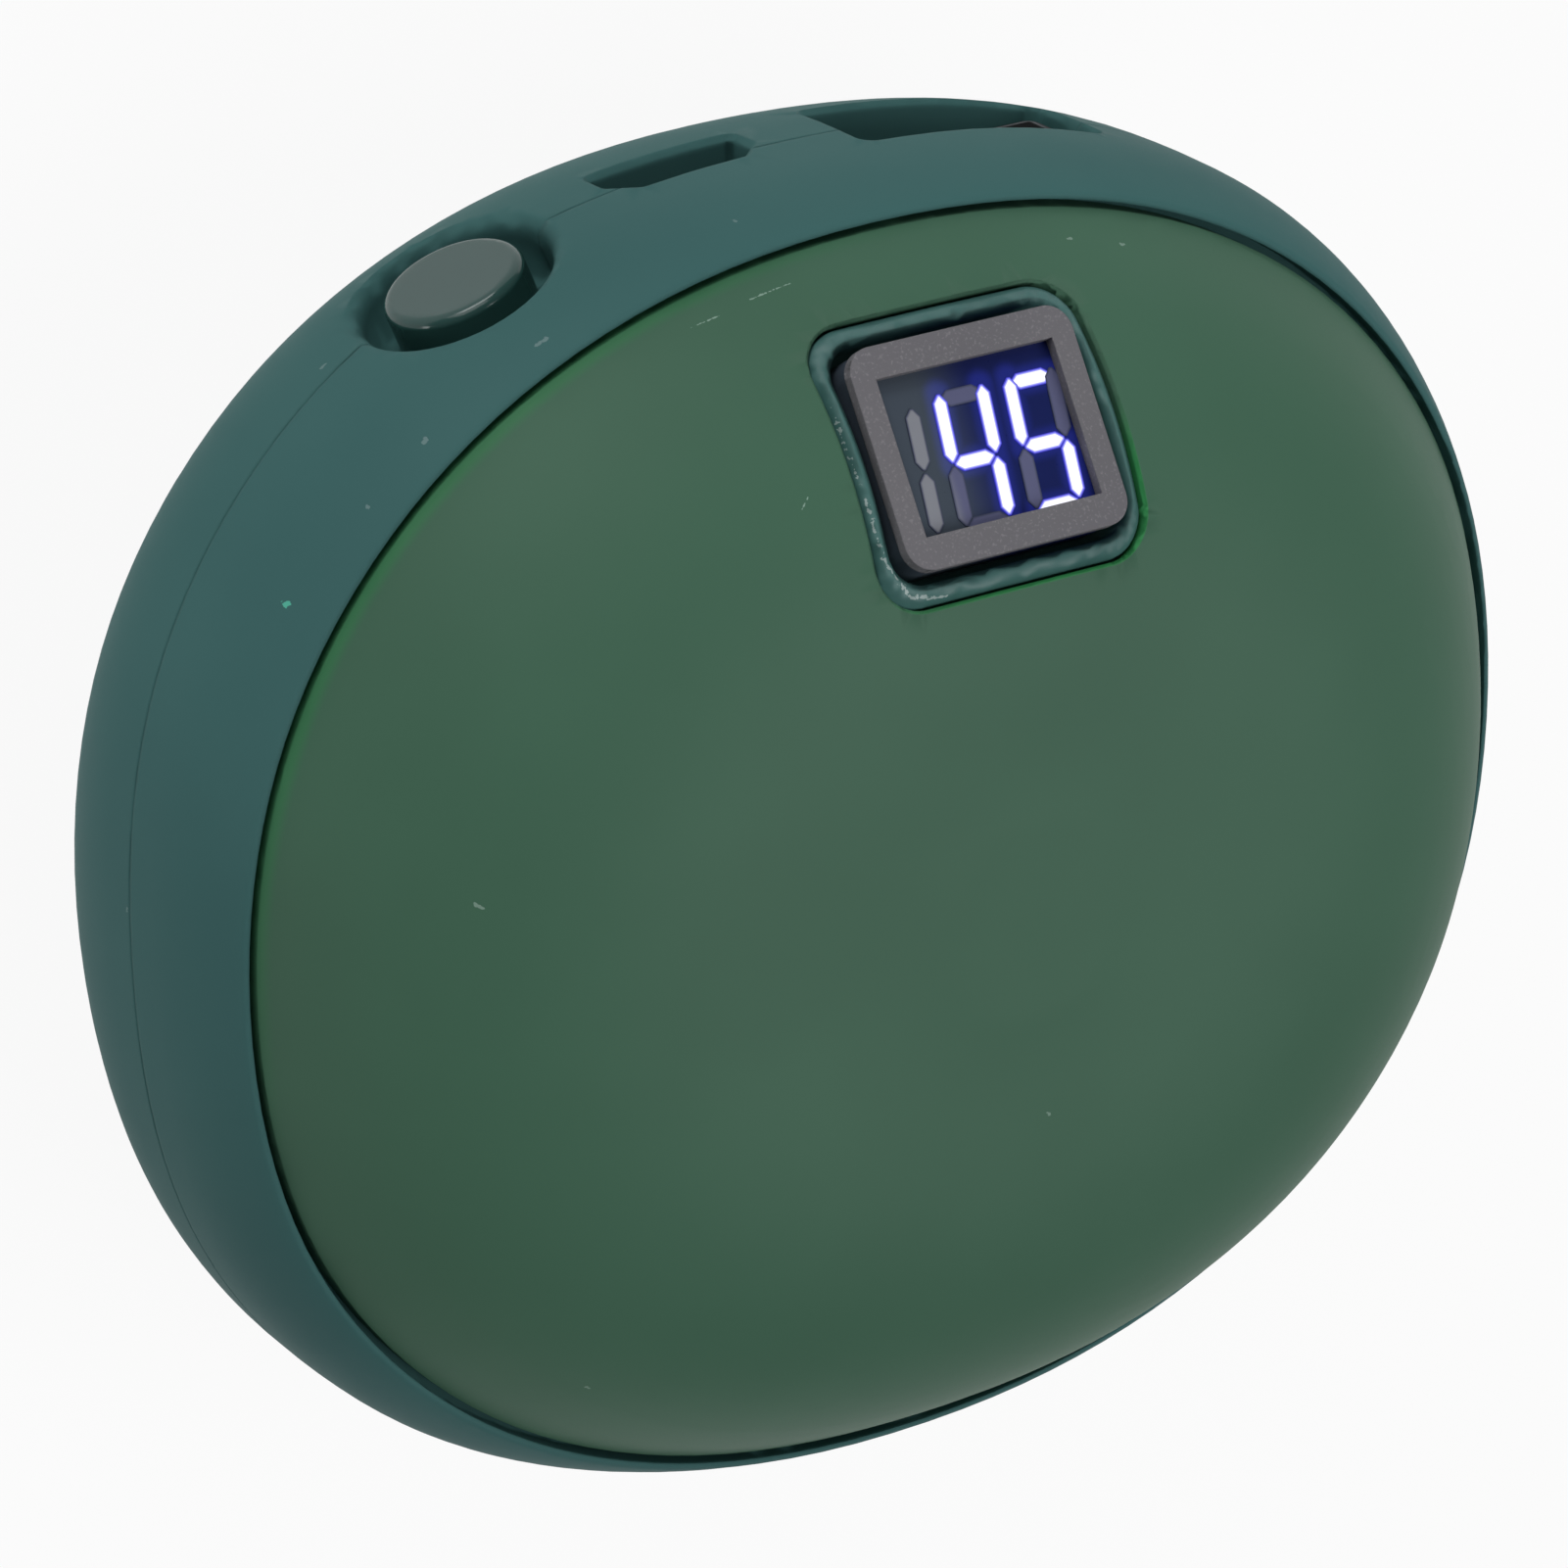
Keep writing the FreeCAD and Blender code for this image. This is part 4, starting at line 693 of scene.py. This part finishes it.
def reading(name, chosen, finish):
    """One piece of all the chosen strokes."""
    pieces = [stroke(figure, letter) for figure, letter in chosen]
    bpy.ops.object.select_all(action="DESELECT")
    for piece in pieces:
        piece.select_set(True)
    bpy.context.view_layer.objects.active = pieces[0]
    bpy.ops.object.join()
    joined = bpy.context.object
    bpy.ops.object.mode_set(mode="EDIT")
    trim_to_window(-display_up, WINDOW_HALF_HEIGHT)
    trim_to_window(display_across, WINDOW_HALF_WIDTH)
    bpy.ops.object.mode_set(mode="OBJECT")
    joined.name = name
    joined.data.materials.append(finish)
    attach(joined, bodies["display_module"])
    print(name, len(joined.data.polygons), "faces")


reading("lit_strokes", LIT, lit_finish)
reading("unlit_strokes", UNLIT, unlit_finish)

# %% [markdown]
# The stage: a plain white floor and a pale sky. The floor mixes a white glow into what the camera sees of
# it, so that it reads as the picture's white ground and still keeps a soft shadow.

# %% Floor and sky
FLOOR_SIZE, FLOOR_DROP = 6.0, 0.2 * MM
FLOOR_TONE, WHITE_SHARE = 0.6, 0.93
bpy.ops.object.select_all(action="DESELECT")
bpy.ops.mesh.primitive_plane_add(size=FLOOR_SIZE, location=(0, 0, -FLOOR_DROP))
floor = bpy.context.object
floor.name = "floor"
floor_finish, tree, shader = start_material("white_floor")
shader.inputs["Base Color"].default_value = colour(FLOOR_TONE, FLOOR_TONE, FLOOR_TONE)
shader.inputs["Roughness"].default_value = 0.9
path = add_node(tree, "ShaderNodeLightPath", {}).outputs
seen = math_node(tree, "MAXIMUM", path["Is Camera Ray"], path["Is Glossy Ray"])
seen = math_node(tree, "MAXIMUM", seen, path["Is Transmission Ray"])
glow = add_node(tree, "ShaderNodeEmission", {"Color": colour(1, 1, 1), "Strength": 1.0})
white = math_node(tree, "MULTIPLY", seen, WHITE_SHARE)
mixed = add_node(tree, "ShaderNodeMixShader", {0: white, 1: shader.outputs[0], 2: glow.outputs[0]})
tree.links.new(mixed.outputs[0], tree.nodes["Material Output"].inputs["Surface"])
floor.data.materials.append(floor_finish)

SKY_STRENGTH = 0.16
world = bpy.data.worlds.new("studio")
bpy.context.scene.world = world
world.use_nodes = True
world.node_tree.nodes["Background"].inputs["Color"].default_value = colour(1.0, 1.0, 1.0)
world.node_tree.nodes["Background"].inputs["Strength"].default_value = SKY_STRENGTH
print("floor and sky ready")

# %% [markdown]
# The lamps. The picture shows light from both sides and from above, and less from behind the camera, which
# leaves a darker band where the panel looks straight at it. So three soft lamps stand round the picture, and
# a weaker one in front fills in. Each is given by how far it lies to the picture's right, up and back
# towards the camera, in metres, and then by its size and its power.

# %% Lamps
LAMPS = {
    "right_softbox": ((0.80, -0.32, 0.44), 0.7, 6.5),
    "left_softbox": ((-0.80, -0.40, 0.18), 0.6, 6.0),
    "top_softbox": ((-0.25, 0.85, 0.45), 0.6, 6.2),
    "front_softbox": ((-0.15, 0.55, 0.80), 0.7, 3.3),
}
for name, (side, size, watts) in LAMPS.items():
    data = bpy.data.lights.new(name, "AREA")
    data.shape = "SQUARE"
    data.size = size
    data.energy = watts
    lamp = bpy.data.objects.new(name, data)
    bpy.context.scene.collection.objects.link(lamp)
    away = camera_right * side[0] + camera_up * side[1] + camera_back * side[2]
    lamp.location = Vector((0, 0, SEAM_HEIGHT)) + away
    lamp.rotation_euler = away.to_track_quat("Z", "Y").to_euler()
    print(name, [round(x, 2) for x in lamp.location])
